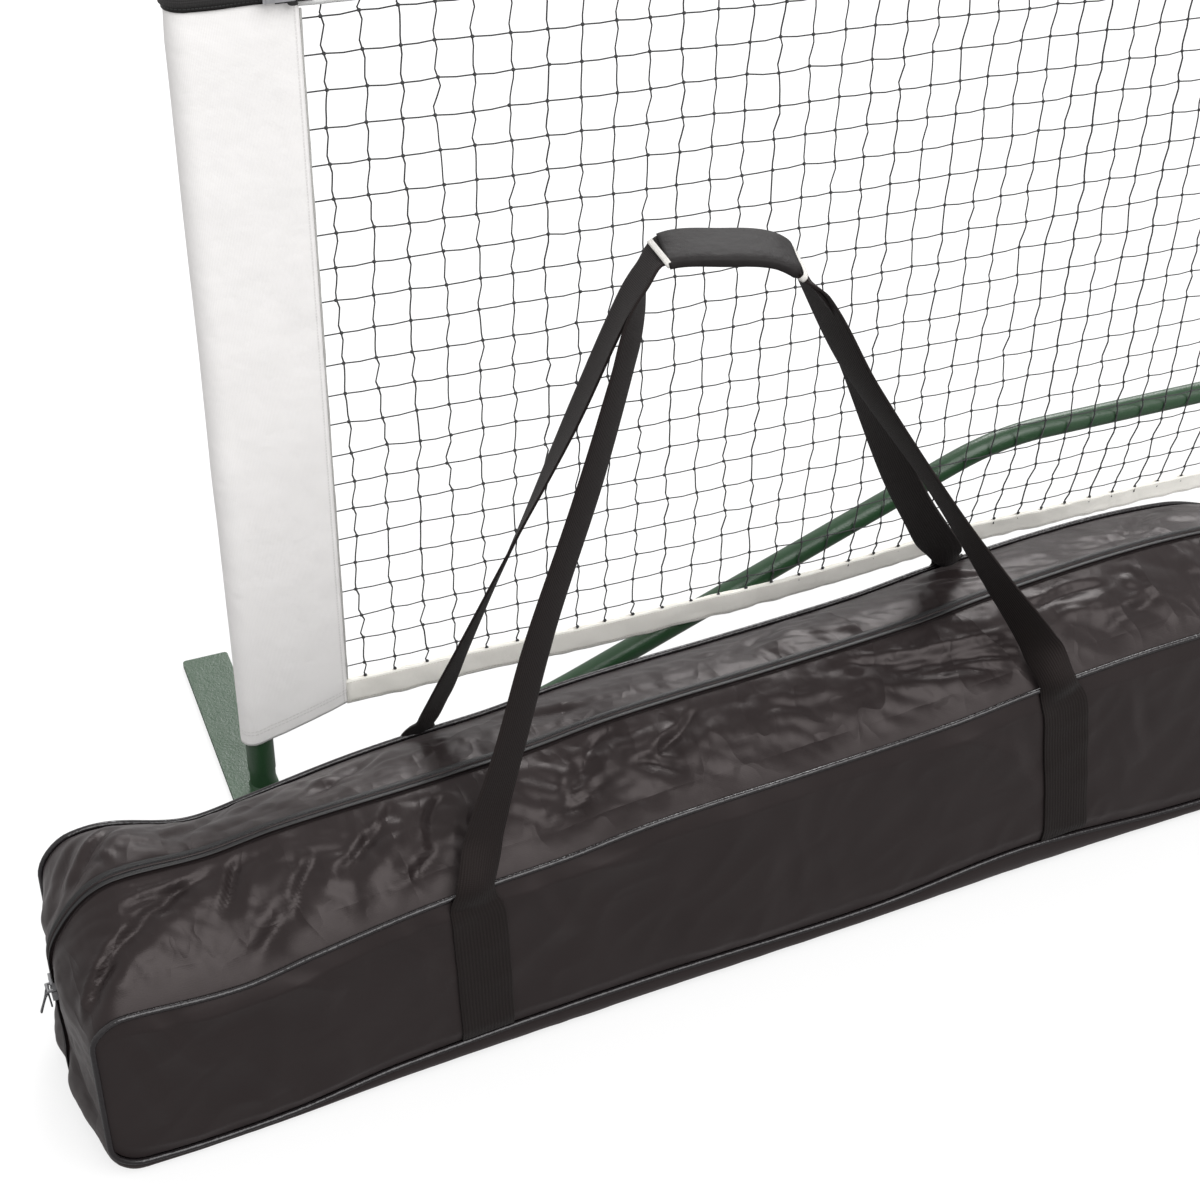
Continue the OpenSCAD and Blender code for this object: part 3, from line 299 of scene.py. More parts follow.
def bar_line(side):
    """The tube's middle line, from its stub on the foot to the joint in the arch."""
    line, y = [], 0.0
    for k in range(bend_steps, -1, -1):
        turn = slope * k / bend_steps
        if k < bend_steps:
            stretch = bend_r * (math.sin(slope * (k + 1) / bend_steps) - math.sin(turn))
            y -= stretch * math.tan(swing * (bend_steps - 0.5 - k) / bend_steps)
        line.insert(0, (first_bend + bend_r * math.sin(turn), y, bar_low + bend_r * (1 - math.cos(turn))))
    back = first_bend - stub_end
    line.insert(0, (first_bend - back * math.cos(swing), y - back * math.sin(swing), bar_low))
    for k in range(bend_steps, -1, -1):
        turn = slope * k / bend_steps
        line.append((second_bend - bend_r * math.sin(turn), 0, bar_high - bend_r * (1 - math.cos(turn))))
    line.append((arch_joint, 0, bar_high))
    return [(side * (post_x - inwards), y, z) for inwards, y, z in line]


for side, hand in hands:
    tube = drawn("bent_tube_" + hand, [bar_line(side)], bar_radius, 48, frame_paint)
    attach(tube, "frame")
    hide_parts("bent_rail_" + hand)

# Caps, buckles, spring buttons and pins: moulded black plastic plugs in the posts' tops and
# buckles on the straps, with zinc-plated steel buttons, leaf springs, pins and levers.
cap_plastic = Finish("cap_plastic", Base_Color=(0.012, 0.012, 0.012, 1), Roughness=0.55)
cap_plastic.relief((cap_plastic.cloud(900, 3), 0.0002))
coat("post_caps centre_cap buckle_left buckle_right", cap_plastic)

zinc = Finish("zinc", Metallic=1.0)
spangle = zinc.cloud(300, 3)
zinc.feed("Base Color", zinc.mix(spangle, (0.5, 0.5, 0.52, 1), (0.68, 0.68, 0.7, 1)))
zinc.feed("Roughness", spangle * 0.2 + 0.22)
coat("button_left button_right button_centre", zinc)
coat("button_spring_left button_spring_right button_spring_centre", zinc)
coat("buckle_pins buckle_lever_left buckle_lever_right", zinc)

# Netting: black twine knotted into squares of about 34 mm, thicker upright than level, and a
# little slack, so that the uprights waver between their knots. Near the floor it leans back
# under the ground bar.
pitch = 0.0337
net_y = -0.0155
edge_x = post_x - 0.1115
cord_x = post_x - 0.0935
sag_at_middle = 0.0508
tape_edge, bottom_edge = 0.868, 0.1318
lean_share, lean_soft, lean_reach, lean_run = 0.22, 0.02, 0.15, 0.35
upright_r, level_r, knot_r = 0.00095, 0.0008, 0.0019
columns = round(2 * edge_x / pitch)
step = 2 * edge_x / columns
rows, first_row, row_gap, row_shrink = 22, 0.854, 0.0351, 0.0000705


def bar_under(x):
    """Height of the ground bar's underside at x."""
    climb = (post_x - abs(x) - climb_start) * math.tan(slope) + bar_low
    return min(bar_high, max(bar_low, climb)) - bar_radius


def lean(x, z):
    """How far back the cloth hangs at x and z: a share of its depth under the bar, begun softly."""
    drop = bar_under(x) - z
    return lean_share * (math.hypot(drop, lean_soft) + drop) / 2 if drop > -lean_reach else 0.0


def sag(x):
    """How much lower the net is at x than at the posts."""
    return sag_at_middle / post_x * (post_x - abs(x))


def hang(x, z):
    """A point of the net: z is its height at the posts."""
    low = z - sag(x)
    return Vector((x, net_y + lean(x, low) * min(1, (post_x - abs(x)) / lean_run), low))


def wander(i, j, seed, size):
    """A smooth unevenness of up to about the given size."""
    return size * noise.noise(Vector((i * 1.7 + 0.3, j * 1.3 + 0.7, seed)))


def knot_at(i, j):
    """Knot of column i and row j: row -1 is in the top tape's edge, the last on the bottom tape's."""
    x = -edge_x + i * step
    inner = 0 <= j < rows
    if inner:
        # each row of meshes is a little less tall than the one above
        z = first_row - row_gap * j + row_shrink * j * j
    else:
        z = bottom_edge if j == rows else tape_edge
    x += wander(i, j, 1.0, 0.003) + (wander(i * 0.2, j, 5.0, 0.004) if inner else 0)
    z += wander(i, j, 9.0, 0.003) if inner else 0
    return hang(x, z)


black_twine = Finish("black_twine", Roughness=0.8, Sheen_Weight=0.15)
fibre = black_twine.cloud(1400, 3, where=black_twine.place(size=(1, 1, 0.25)))
black_twine.feed("Base Color", black_twine.mix(fibre, (0.012, 0.012, 0.013, 1), (0.05, 0.05, 0.053, 1)))
black_twine.relief((fibre, 0.0003))

uprights = []
for i in range(columns + 1):
    run = []
    for j in range(-1, rows):
        a, b = knot_at(i, j), knot_at(i, j + 1)
        bow = 0.0024 * (0.55 + wander(i, j, 3.0, 1.1))
        for k in range(4):
            t = k / 4
            sway = bow * math.sin(2 * math.pi * t) + wander(i, j + t, 13.0, 0.0015)
            run.append(a.lerp(b, t) + Vector((sway, 0.4 * sway, 0)))
    run += [knot_at(i, rows), knot_at(i, rows) - Vector((0, 0, 0.008))]
    uprights.append(run)
levels = []
for j in range(rows):
    left, right = knot_at(0, j), knot_at(columns, j)
    run = [Vector((-cord_x, left.y, left.z))]
    for i in range(columns):
        a, b = knot_at(i, j), knot_at(i + 1, j)
        run += [a, a.lerp(b, 0.5) + Vector((0, 0, -0.0009 + wander(i, j, 21.0, 0.001)))]
    run += [right, Vector((cord_x, right.y, right.z))]
    levels.append(run)
net_uprights = drawn("net_uprights", uprights, upright_r, 4, black_twine, capped=False)
net_levels = drawn("net_levels", levels, level_r, 4, black_twine, capped=False)

knot = bmesh.new()
knot_form = Matrix.Diagonal((1.15, 0.9, 1, 1))
bmesh.ops.create_uvsphere(knot, u_segments=6, v_segments=4, radius=knot_r, matrix=knot_form)
net_knots = keep("net_knots", knot, black_twine)
round_one = len(net_knots.data.vertices)
for count, offset in ((columns + 1, (step, 0, 0)), (rows + 1, (0, 0, -pitch))):
    array = net_knots.modifiers.new("array", "ARRAY")
    array.count = count
    array.use_relative_offset = False
    array.use_constant_offset = True
    array.constant_offset_displace = offset
solid_knots = bpy.data.meshes.new_from_object(net_knots.evaluated_get(bpy.context.evaluated_depsgraph_get()))
net_knots.modifiers.clear()
net_knots.data = solid_knots
solid_knots.name = "net_knots"
for index, vertex in enumerate(solid_knots.vertices):
    block = index // round_one
    i, j = block % (columns + 1), block // (columns + 1)
    vertex.co += knot_at(i, j) - Vector((i * step, 0, -j * pitch))

for piece in (net_uprights, net_levels, net_knots):
    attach(piece, "net")
    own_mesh(piece)
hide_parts("net_mesh")


# Edge cords: one thin grey braided cord down each side of the netting. It is sewn to the
# sleeve's edge, and the level twines end on it.
edge_braid = Finish("edge_braid", Roughness=0.85)
braid = edge_braid.cloud(900, where=edge_braid.place(size=(1, 1, 0.5)))
edge_braid.feed("Base Color", edge_braid.mix(braid, (0.3, 0.3, 0.29, 1), (0.55, 0.54, 0.52, 1)))
edge_braid.relief((braid, 0.0004))
cord_low, cord_gap, cord_r = 0.131, 0.0162, 0.0014
edge_cords = []
for side, hand in hands:
    line = []
    for i in range(46):
        x = side * cord_x + wander(i, side, 51.0, 0.0006)
        line.append((x, net_y + wander(i, side, 52.0, 0.0006), cord_low + i * cord_gap))
    edge_cords.append(drawn("edge_cord_" + hand, [line], cord_r, 12, edge_braid))
    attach(edge_cords[-1], "net")
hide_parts("side_cords")


# Top tape: white vinyl-coated tape folded over the netting's top edge, with the braided
# headline rolled into its fold. Two rows of stitches run along each of its sides.
def thicken(piece, thick, offset=0.0):
    """A sheet gets its thickness: offset is -1 for inwards, 0 for both ways and 1 for outwards."""
    wall = piece.modifiers.new("wall", "SOLIDIFY")
    wall.thickness = thick
    wall.offset = offset


def laid(name, columns, rows, place, finish, thick=0.0, closed=False, offset=0.0):
    """A cloth piece: a grid whose corners go from (0, 0) to (1, 1), laid in place."""
    shape = bmesh.new()
    shape.loops.layers.uv.new("cloth")
    bmesh.ops.create_grid(shape, x_segments=columns, y_segments=rows, size=1, calc_uvs=True)
    for vertex in shape.verts:
        vertex.co = place((vertex.co.x + 1) / 2, (vertex.co.y + 1) / 2)
    if closed:
        bmesh.ops.remove_doubles(shape, verts=shape.verts, dist=0.00002)
    piece = keep(name, shape, finish)
    if thick:
        thicken(piece, thick, offset)
    return piece


def stitches(across, along, lines, pitch=0.004, width=0.0008):
    """1 on the stitches of a few seams that run along the cloth, each at a distance across."""
    total = None
    for line in lines:
        on = (abs(across - line) < width) * ((along / pitch) % 1.0 < 0.72)
        total = on if total is None else total + on
    return total


coated_tape = Finish("coated_tape", Roughness=0.5, Specular_IOR_Level=0.4)
along, across = coated_tape.cloth(6.52, 0.118)
seam = stitches(across, along, (0.006, 0.044, 0.074, 0.112))
coated_tape.feed("Base Color", coated_tape.mix(seam, (0.83, 0.83, 0.82, 1), (0.7, 0.7, 0.68, 1)))
coated_tape.relief((coated_tape.cloud(1100), 0.0002), (coated_tape.cloud(28, 3), 0.0015), (seam, 0.0005))
net_top, tape_high, tape_half = 0.9144, 0.050, 0.0027
roll, headline_r = 0.0042, 0.0029
sleeve_reach = 0.0925
tape_end = post_x - 0.092


def top_tape_place(u, v):
    """The tape from its front edge, over the headline, to its back edge."""
    x = tape_end * (2 * u - 1)
    top = net_top - sag(x)
    edge = top - tape_high + wander(u * 400, 0, 31.0, 0.0008)
    flat = 0.42
    if v < flat:
        y, z = -tape_half, edge + v / flat * (top - roll - edge)
    elif v > 1 - flat:
        y, z = tape_half, edge + (1 - v) / flat * (top - roll - edge)
    else:
        turn = math.pi * (v - flat) / (1 - 2 * flat)
        y, z = -roll * math.cos(turn), top - roll + roll * math.sin(turn)
    y += wander(u * 160, v * 3, 33.0, 0.0012) * min(1, abs(v - 0.5) * 5)
    return (x, net_y + y, z)


top_tape = laid("top_tape_folded", 640, 24, top_tape_place, coated_tape, thick=0.0012)
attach(top_tape, "net")
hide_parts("top_tape")
headline_braid = Finish("headline_braid", Base_Color=(0.2, 0.2, 0.2, 1), Roughness=0.8)
headline_braid.relief((headline_braid.cloud(700), 0.0004))
line = []
for i in range(201):
    x = (post_x - sleeve_reach) * (i / 100 - 1)
    line.append((x, net_y, net_top - roll - sag(x)))
headline = drawn("headline_braid", [line], headline_r, 12, headline_braid)
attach(headline, "net")
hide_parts("headline_cord")

# Bottom tape: cream woven tape folded round the netting's lower edge and stitched along
# both edges. It hangs slack and puckers a little between the twines.
def threads(place, pitch):
    """Height of a regular weave, with one thread at each pitch."""
    return abs((place / pitch) % 1.0 - 0.5)


cream_tape = Finish("cream_tape", Roughness=0.8, Sheen_Weight=0.1)
along, across = cream_tape.cloth(6.52, 0.064)
seam = stitches(across, along, (0.003, 0.0255, 0.0385, 0.061), 0.0035, 0.0005)
tape_colour = cream_tape.mix(cream_tape.cloud(25, 3), (0.9, 0.87, 0.81, 1), (0.94, 0.92, 0.86, 1))
cream_tape.feed("Base Color", cream_tape.mix(seam * 0.5, tape_colour, (0.66, 0.62, 0.54, 1)))
cream_tape.relief((threads(across, 0.0011), 0.0003), (cream_tape.cloud(60), 0.001), (seam, 0.0004))


def bottom_tape_place(u, v):
    """The tape from its front edge, under the netting, to its back edge."""
    x = tape_end * (2 * u - 1)
    droop = wander(u * 193, 0, 41.0, 0.0022) + wander(u * 23, 0, 43.0, 0.003)
    low, high = 0.101 + droop, cord_low + droop * 0.6
    flat, half = 0.45, 0.0016
    if v < flat:
        z, y = high + (low - high) * v / flat, -half
    elif v > 1 - flat:
        z, y = low + (high - low) * (v - 1 + flat) / flat, half
    else:
        turn = math.pi * (v - flat) / (1 - 2 * flat)
        z, y = low - 0.0012 * math.sin(turn), -half * math.cos(turn)
    point = hang(x, z)
    point.y += y + wander(u * 193, v * 2, 47.0, 0.0015)
    return point


bottom_tape = laid("bottom_tape_folded", 900, 14, bottom_tape_place, cream_tape, thick=0.0009)
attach(bottom_tape, "net")
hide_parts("bottom_tape")
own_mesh(bottom_tape)

# Side sleeves: white coated polyester, sewn into a pocket that drops over the post, with a
# flat flap that holds the netting. The hem rises towards the netting.
white_cloth = Finish("white_cloth", Roughness=0.7, Specular_IOR_Level=0.1)
across, along = white_cloth.cloth(0.235, 0.84)
side_seams = stitches(across, along, (0.004, 0.231), 0.0035, 0.0006)
hem_seams = stitches(along, across, (0.014, 0.018), 0.0035, 0.0006)
seam = side_seams + hem_seams
cloth_colour = white_cloth.mix(white_cloth.cloud(9, 4), (0.85, 0.83, 0.82, 1), (0.875, 0.86, 0.85, 1))
white_cloth.feed("Base Color", white_cloth.mix(seam * 0.5, cloth_colour, (0.66, 0.64, 0.63, 1)))
weave = threads(across, 0.0012) + threads(along, 0.0012)
white_cloth.relief((weave, 0.00012), (white_cloth.cloud(22, 3), 0.0022), (seam, 0.0005))
# The pocket's seam and radius from the post's middle, and half the flap's thickness
pocket_seam, sleeve_r, sleeve_half = 0.042, 0.0162, 0.0011
sleeve_top, hem_low, hem_rise, sleeve_wide = 0.9045, 0.070, 0.031, 0.108


def compass(angle):
    """The way of an angle, seen from above."""
    return Vector((math.cos(angle), math.sin(angle)))


def drop_outline(u, reach, r, half):
    """A cloth's line from its front edge, round the post and along the back, and its way out."""
    flap, front_share, back_share = 0.215, 0.28, 0.3
    if u < flap:
        return Vector((reach + (pocket_seam - reach) * u / flap, net_y - half)), Vector((0, -1))
    if u > 1 - flap:
        return Vector((reach + (pocket_seam - reach) * (1 - u) / flap, net_y + half)), Vector((0, 1))
    t = (u - flap) / (1 - 2 * flap)
    start, end = math.radians(-88), math.radians(-310)
    if t < front_share:
        return Vector((pocket_seam, net_y - half)).lerp(compass(start) * r, t / front_share), Vector((0, -1))
    if t > 1 - back_share:
        t = (t - 1 + back_share) / back_share
        return (compass(end) * r).lerp(Vector((pocket_seam, net_y + half)), t), Vector((0, 1))
    out = compass(start + (end - start) * (t - front_share) / (1 - front_share - back_share))
    return out * r, out


def clamped(t):
    """t, but never below 0 or above 1."""
    return max(0, min(1, t))


def sleeve_place(side):
    def place(u, v):
        point, out = drop_outline(u, sleeve_reach, sleeve_r, sleeve_half)
        x, y = point
        hem = hem_low + hem_rise * (x + 0.016) / sleeve_wide
        z = hem + (sleeve_top - hem) * v
        loose = (0.4 + 0.6 * min(1, (0.92 - z) / 0.3)) * clamped((tape_edge - z) / 0.03)
        slack = 0.0013 * loose * (1 + noise.noise(Vector((x * 18, z * 3.5, 3.0 * side))))
        slack += 0.0006 * min(1, loose * 2) * (1 + noise.noise(Vector((x * 45, z * 12, 7.0 * side))))
        slack *= min(1, (sleeve_reach + 0.002 - x) / 0.02)
        x += out.x * slack
        y += out.y * slack
        return (side * (post_x - x), y, z)

    return place


for side, hand in hands:
    sleeve = laid("sleeve_cloth_" + hand, 96, 260, sleeve_place(side), white_cloth, thick=0.0009)
    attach(sleeve, "net")
    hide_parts("sleeve_" + hand)

# Corner caps: smooth black vinyl hoods over the sleeve's top and the tape's end. The vinyl
# closes over the post's cap in a soft rim and is stitched along its lower edge. A strap of
# ribbed black webbing goes round each hood.
black_vinyl = Finish("black_vinyl", Roughness=0.42, Specular_IOR_Level=0.3)
along, across = black_vinyl.cloth(0.285, 0.055)
seam = stitches(across, along, (0.003, 0.006), 0.0035, 0.0005)
black_vinyl.feed("Base Color", black_vinyl.mix(seam, (0.010, 0.009, 0.009, 1), (0.05, 0.05, 0.05, 1)))
black_vinyl.relief((black_vinyl.cloud(700, 3), 0.0003), (black_vinyl.cloud(45), 0.0015), (seam, 0.0004))
hood_reach, hood_r, hood_half = 0.1052, 0.0177, 0.0031
hood_low, hood_high, hood_rise = 0.8684, 0.9134, 0.0046
strap_low, strap_wide, strap_off = 0.8732, 0.025, 0.0017


def soft_step(t):
    """A soft rise from 0 to 1."""
    t = clamped(t)
    return t * t * (3 - 2 * t)


def tape_swell(x):
    """How far the hood opens out to go over the tape's rolled edge."""
    return 0.0023 * soft_step((x - 0.066) / 0.022)


def closed_top(v, low, high, rise):
    """Height at v of a hood that closes over a cap, and how far from its middle it still is."""
    upright = 0.82
    turn = max(0, (v - upright) / (1 - upright)) * math.pi / 2
    return low + (high - low) * min(1, v / upright) + rise * math.sin(turn) ** 0.8, math.cos(turn)


def hood_place(side):
    def place(u, v):
        flat_point, out = drop_outline(u, hood_reach, hood_r, hood_half)
        middle, _ = drop_outline(u, hood_reach, 0.0, 0.0)
        edge = flat_point + out * tape_swell(flat_point.x)
        edge += out * 0.0005 * noise.noise(Vector((edge.x * 30, v * 2.5, 9.0 * side)))
        hem = hood_low + 0.0008 * noise.noise(Vector((edge.x * 25, 0.5 * side, 4.0)))
        z, spread = closed_top(v, hem, hood_high, hood_rise)
        point = middle + (edge - middle) * spread
        return (side * (post_x - point.x), point.y, z)

    return place


def strap_place(side):
    def place(u, v):
        point, out = drop_outline(0.118 + 0.764 * u, hood_reach, hood_r, hood_half)
        point += out * (tape_swell(point.x) + strap_off)
        z = strap_low + strap_wide * v
        return (side * (post_x - point.x), point.y, z)

    return place


strap_weave = Finish("strap_weave", Roughness=0.75, Sheen_Weight=0.1)
along, across = strap_weave.cloth(0.24, strap_wide)
ribs = threads(along, 0.0016) + threads(across, 0.0022)
# the strap's colour follows the height of its weave: painted shade darkens the grooves and the crests are
# painted lighter
strap_weave.feed("Base Color", strap_weave.mix(ribs, (0.010, 0.009, 0.009, 1), (0.022, 0.020, 0.020, 1)))
strap_weave.relief((ribs, 0.0005))
for side, hand in hands:
    hood = laid("hood_vinyl_" + hand, 120, 34, hood_place(side), black_vinyl, thick=0.0011)
    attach(hood, "net")
    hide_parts("corner_" + hand)
    strap = laid("strap_round_" + hand, 110, 6, strap_place(side), strap_weave, thick=0.0014)
    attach(strap, "net")
    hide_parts("tension_strap_" + hand)


# Middle pocket: a white cloth pocket whose two edges are sewn to the back of the top tape. It
# drops over the centre post's cap.
def pocket_place(u, v):
    """The pocket from its left sewn edge, round the cap, to its right one."""
    seam_y, seam_x, r = net_y + 0.0048, 0.0135, 0.0118
    low, high, rise = 0.8140, 0.8515, 0.0038
    t = 2 * u - 1
    z, spread = closed_top(v, low, high, rise)
    if abs(t) > 0.8:
        point = Vector((math.copysign(seam_x + 0.0425 * (abs(t) - 0.8), t), seam_y))
    elif abs(t) > 0.5:
        part = (abs(t) - 0.5) / 0.3
        edge = Vector((r, 0)).lerp(Vector((seam_x, seam_y)), part)
        edge.x = math.copysign(edge.x, t)
        middle = Vector((edge.x * soft_step(part * 1.2 - 0.2), edge.y))
        point = middle + (edge - middle) * spread
    else:
        point = Vector((math.sin(math.pi * t), math.cos(math.pi * t))) * r * spread
    return (point.x, point.y + 0.0003 * noise.noise(Vector((u * 9, v * 5, 2.0))), z)


pocket = laid("centre_pocket_cloth", 72, 34, pocket_place, white_cloth, thick=0.001)
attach(pocket, "net")
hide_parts("centre_pocket")

# Carry bag: a long bag of black woven nylon. Two panels are sewn to one strip that goes
# round the top, the ends and the bottom, and the zip runs along the middle of that strip.
# The cloth is thin, so it hangs in sharp folds over the poles inside.
bag_turn = math.radians(1.5)
bag_place = Matrix.Translation((-2.9448, -0.323, 0)) @ Matrix.Rotation(bag_turn, 4, "Z")
half_long, half_deep, corner_r, strip_long = 0.650, 0.100, 0.028, 3.0
# Each pair is a place along the bag, as a share of half its length, and a height
top_line = [
    (-1, 0.192), (-0.957, 0.1933), (-0.812, 0.1867), (-0.711, 0.198), (-0.578, 0.212), (-0.471, 0.2183),
    (-0.358, 0.2222), (-0.243, 0.2309), (-0.123, 0.2349), (0, 0.2367), (0.249, 0.2435), (0.391, 0.2538),
    (0.649, 0.263), (0.84, 0.2564), (0.93, 0.2393), (1, 0.2157),
]
hem_line = [
    (-1, 0.0221), (-0.89, 0.017), (-0.76, 0.019), (-0.6, 0.032), (-0.26, 0.0381), (0.14, 0.033),
    (0.41, 0.0459), (0.71, 0.0299), (1, 0.0238),
]
crown_line = [(-1, 0.042), (-0.89, 0.0546), (-0.76, 0.0588), (-0.55, 0.0441), (-0.4, 0.042), (1, 0.042)]


def bend_between(t, here, slope_here, there, slope_there):
    """A smooth bend from here to there, which leaves and arrives with the given slopes."""
    return (
        (2 * t**3 - 3 * t**2 + 1) * here + (t**3 - 2 * t**2 + t) * slope_here
        + (3 * t**2 - 2 * t**3) * there + (t**3 - t**2) * slope_there
    )


def height_on(line, x):
    """Height at x of a smooth line through pairs of places and heights."""
    share = max(line[0][0], min(line[-1][0], x / half_long))
    k = 0
    while k < len(line) - 2 and share > line[k + 1][0]:
        k += 1
    (x0, z0), (x1, z1) = line[k], line[k + 1]
    before, after = line[max(0, k - 1)], line[min(len(line) - 1, k + 2)]
    slope_here = (z1 - before[1]) / (x1 - before[0]) * (x1 - x0)
    slope_there = (after[1] - z0) / (after[0] - x0) * (x1 - x0)
    return bend_between((share - x0) / (x1 - x0), z0, slope_here, z1, slope_there)


def hump(place, middle, width):
    """1 at the middle, fading to 0 on both sides."""
    return math.exp(-(((place - middle) / width) ** 2))


def puff(x, y):
    """How far the upper left end is puffed up, most of all at the back."""
    return 0.021 * hump(x, -0.597, 0.058) * soft_step((y + 0.05) / 0.13)


def bag_ring(u, w):
    """A point of the strip: u once round the bag from its lower left corner, w across it."""
    quarter = math.pi / 2
    swell = 1 - w * w
    half = half_long + 0.012 * swell
    low_r, high_r = corner_r, corner_r + 0.032 * swell
    high = height_on(top_line, -half_long) + 0.042 * swell
    base, upright, roof = 2 * (half - low_r), high - low_r - high_r, 2 * (half - high_r)
    low_bend, high_bend = low_r * quarter, high_r * quarter
    legs = (base, low_bend, upright, high_bend, roof, high_bend, upright, low_bend)
    run = (u % 1.0) * sum(legs)
    for leg, length in enumerate(legs):
        if run <= length or leg == 7:
            break
        run -= length
    if leg % 2:
        bend = low_r if leg in (1, 7) else high_r
        middle_x = half - bend if leg < 4 else bend - half
        middle_z = bend if leg in (1, 7) else high - bend
        turn = (leg // 2 - 1) * quarter + run / length * quarter
        x, z = middle_x + bend * math.cos(turn), middle_z + bend * math.sin(turn)
    else:
        x = (low_r - half + run, half, half - high_r - run, -half)[leg // 2]
        z = (0, low_r + run, high, high - high_r - run)[leg // 2]
    y = half_deep * w
    # the strip's edges roll under the bag, up to the seams
    rolled_under, flat_share = math.radians(115), 0.78
    under = max(0.0, (abs(w) - flat_share) / (1 - flat_share))
    turn = under * rolled_under
    low = height_on(hem_line, x) * (1 - math.cos(turn)) / (1 - math.cos(rolled_under))
    share = z / high
    top = height_on(top_line, x) + height_on(crown_line, x) * swell + 0.006 * (w + 1) / 2 + puff(x, y)
    near_floor = max(0.0, 1 - share * 3)
    y += math.copysign(0.078 + 0.0265 * math.sin(turn) - abs(y), y) * near_floor * (under > 0)
    if abs(x) > half_long - 0.03:
        # the cloth hangs loose beside the zip, which stays straight where the sliders run
        loose = soft_step(abs(w) / 0.3)
        sway = 0.006 * math.sin((share - 0.05) * 11) + 0.003 * math.sin(share * 23 + 2)
        x += math.copysign(sway * loose * swell * min(1, share * 6) * (1 - share) * 1.5, x)
        x -= math.copysign(0.008 * (0.1 + 0.9 * loose) * hump(z, 0.093, 0.02) * swell, x)
    return Vector((x, y, low + share * (top - low)))


bag_cloth = Finish("bag_cloth", Specular_IOR_Level=0.27, Specular_Tint=(1, 0.9, 0.89, 1))
bag_cloth.shader.inputs["Sheen Weight"].default_value = 0.06
bag_cloth.shader.inputs["Sheen Tint"].default_value = (1, 0.88, 0.88, 1)
along, across = bag_cloth.cloth(strip_long, 0.21)
# upper is 0 on the front panel, which is smooth and dull, and 1 from the strip backwards
square = bag_cloth.place(turn=(0, 0, -bag_turn))
upper = bag_cloth.ramp(bag_cloth.axis(square, "Y") * 50 + 17.3, (0, 0), (1, 1))
tint = bag_cloth.cloud(14, 4)
bag_cloth.feed("Base Color", bag_cloth.mix(tint, (0.0115, 0.0082, 0.0082, 1), (0.0165, 0.0122, 0.0122, 1)))
bag_cloth.feed("Roughness", bag_cloth.cloud(40, 3) * 0.14 + 0.42 - upper * 0.15)
weave = threads(along, 0.0009) + threads(across, 0.0009)
slanted = bag_cloth.place(turn=(0, 0, 0.7), size=(1, 0.4, 1))
creases = abs(bag_cloth.cloud(9, where=slanted) - 0.5) * upper
small_creases = abs(bag_cloth.cloud(30, where=slanted) - 0.5) * upper
flap_seams = stitches(across, along, (0.089, 0.121), 0.0035, 0.0007) * upper
bag_cloth.relief((weave, 0.00005), (creases, -0.026), (small_creases, -0.004), (flap_seams, -0.0003))

# Each row is both ends of a fold on the bag's top, along and across, its height and its width
strip_folds = [
    (-0.644, 0.005, -0.575, 0.085, 0.0065, 0.0055),
    (-0.655, 0.020, -0.620, 0.080, 0.0050, 0.0060),
    (-0.652, -0.080, -0.580, -0.039, 0.0070, 0.0050),
    (-0.600, -0.050, -0.550, -0.018, 0.0065, 0.0055),
    (-0.602, -0.035, -0.521, -0.014, 0.0055, 0.0050),
    (-0.531, -0.055, -0.494, -0.014, 0.0070, 0.0050),
    (-0.520, -0.084, -0.459, -0.068, 0.0060, 0.0070),
    (-0.620, 0.030, -0.594, -0.001, 0.0045, 0.0060),
    (-0.655, -0.085, -0.615, -0.060, 0.0050, 0.0050),
    (-0.515, -0.088, -0.465, -0.075, 0.0040, 0.0060),
    (-0.470, -0.080, -0.440, -0.030, 0.0055, 0.0060),
    (-0.423, -0.060, -0.386, -0.028, 0.0060, 0.0055),
    (-0.392, -0.080, -0.334, -0.069, 0.0050, 0.0060),
    (-0.405, -0.045, -0.360, -0.016, 0.0045, 0.0050),
    (-0.350, -0.060, -0.318, -0.020, 0.0060, 0.0060),
    (-0.190, -0.028, -0.150, -0.012, 0.0055, 0.0050),
    (-0.131, -0.060, -0.072, -0.018, 0.0065, 0.0055),
    (-0.150, -0.052, -0.100, -0.066, 0.0050, 0.0050),
    (-0.225, -0.066, -0.170, -0.060, 0.0050, 0.0060),
    (-0.255, -0.085, -0.180, -0.030, 0.0045, 0.0070),
    (0.080, -0.018, 0.255, -0.060, 0.0060, 0.0060),
    (0.110, -0.034, 0.262, -0.074, 0.0055, 0.0055),
    (0.140, -0.052, 0.262, -0.084, 0.0050, 0.0050),
    (0.279, -0.030, 0.376, -0.032, 0.0050, 0.0060),
    (0.340, -0.080, 0.430, -0.050, 0.0045, 0.0070),
    (0.450, -0.085, 0.560, -0.030, 0.0045, 0.0070),
    (-0.560, 0.030, -0.480, 0.085, 0.0050, 0.0070),
    (-0.430, 0.025, -0.350, 0.080, 0.0045, 0.0080),
    (-0.250, 0.080, -0.160, 0.025, 0.0045, 0.0070),
    (-0.020, 0.025, 0.080, 0.085, 0.0040, 0.0080),
    (0.200, 0.080, 0.290, 0.025, 0.0050, 0.0070),
    (0.420, 0.025, 0.520, 0.080, 0.0040, 0.0080),
]


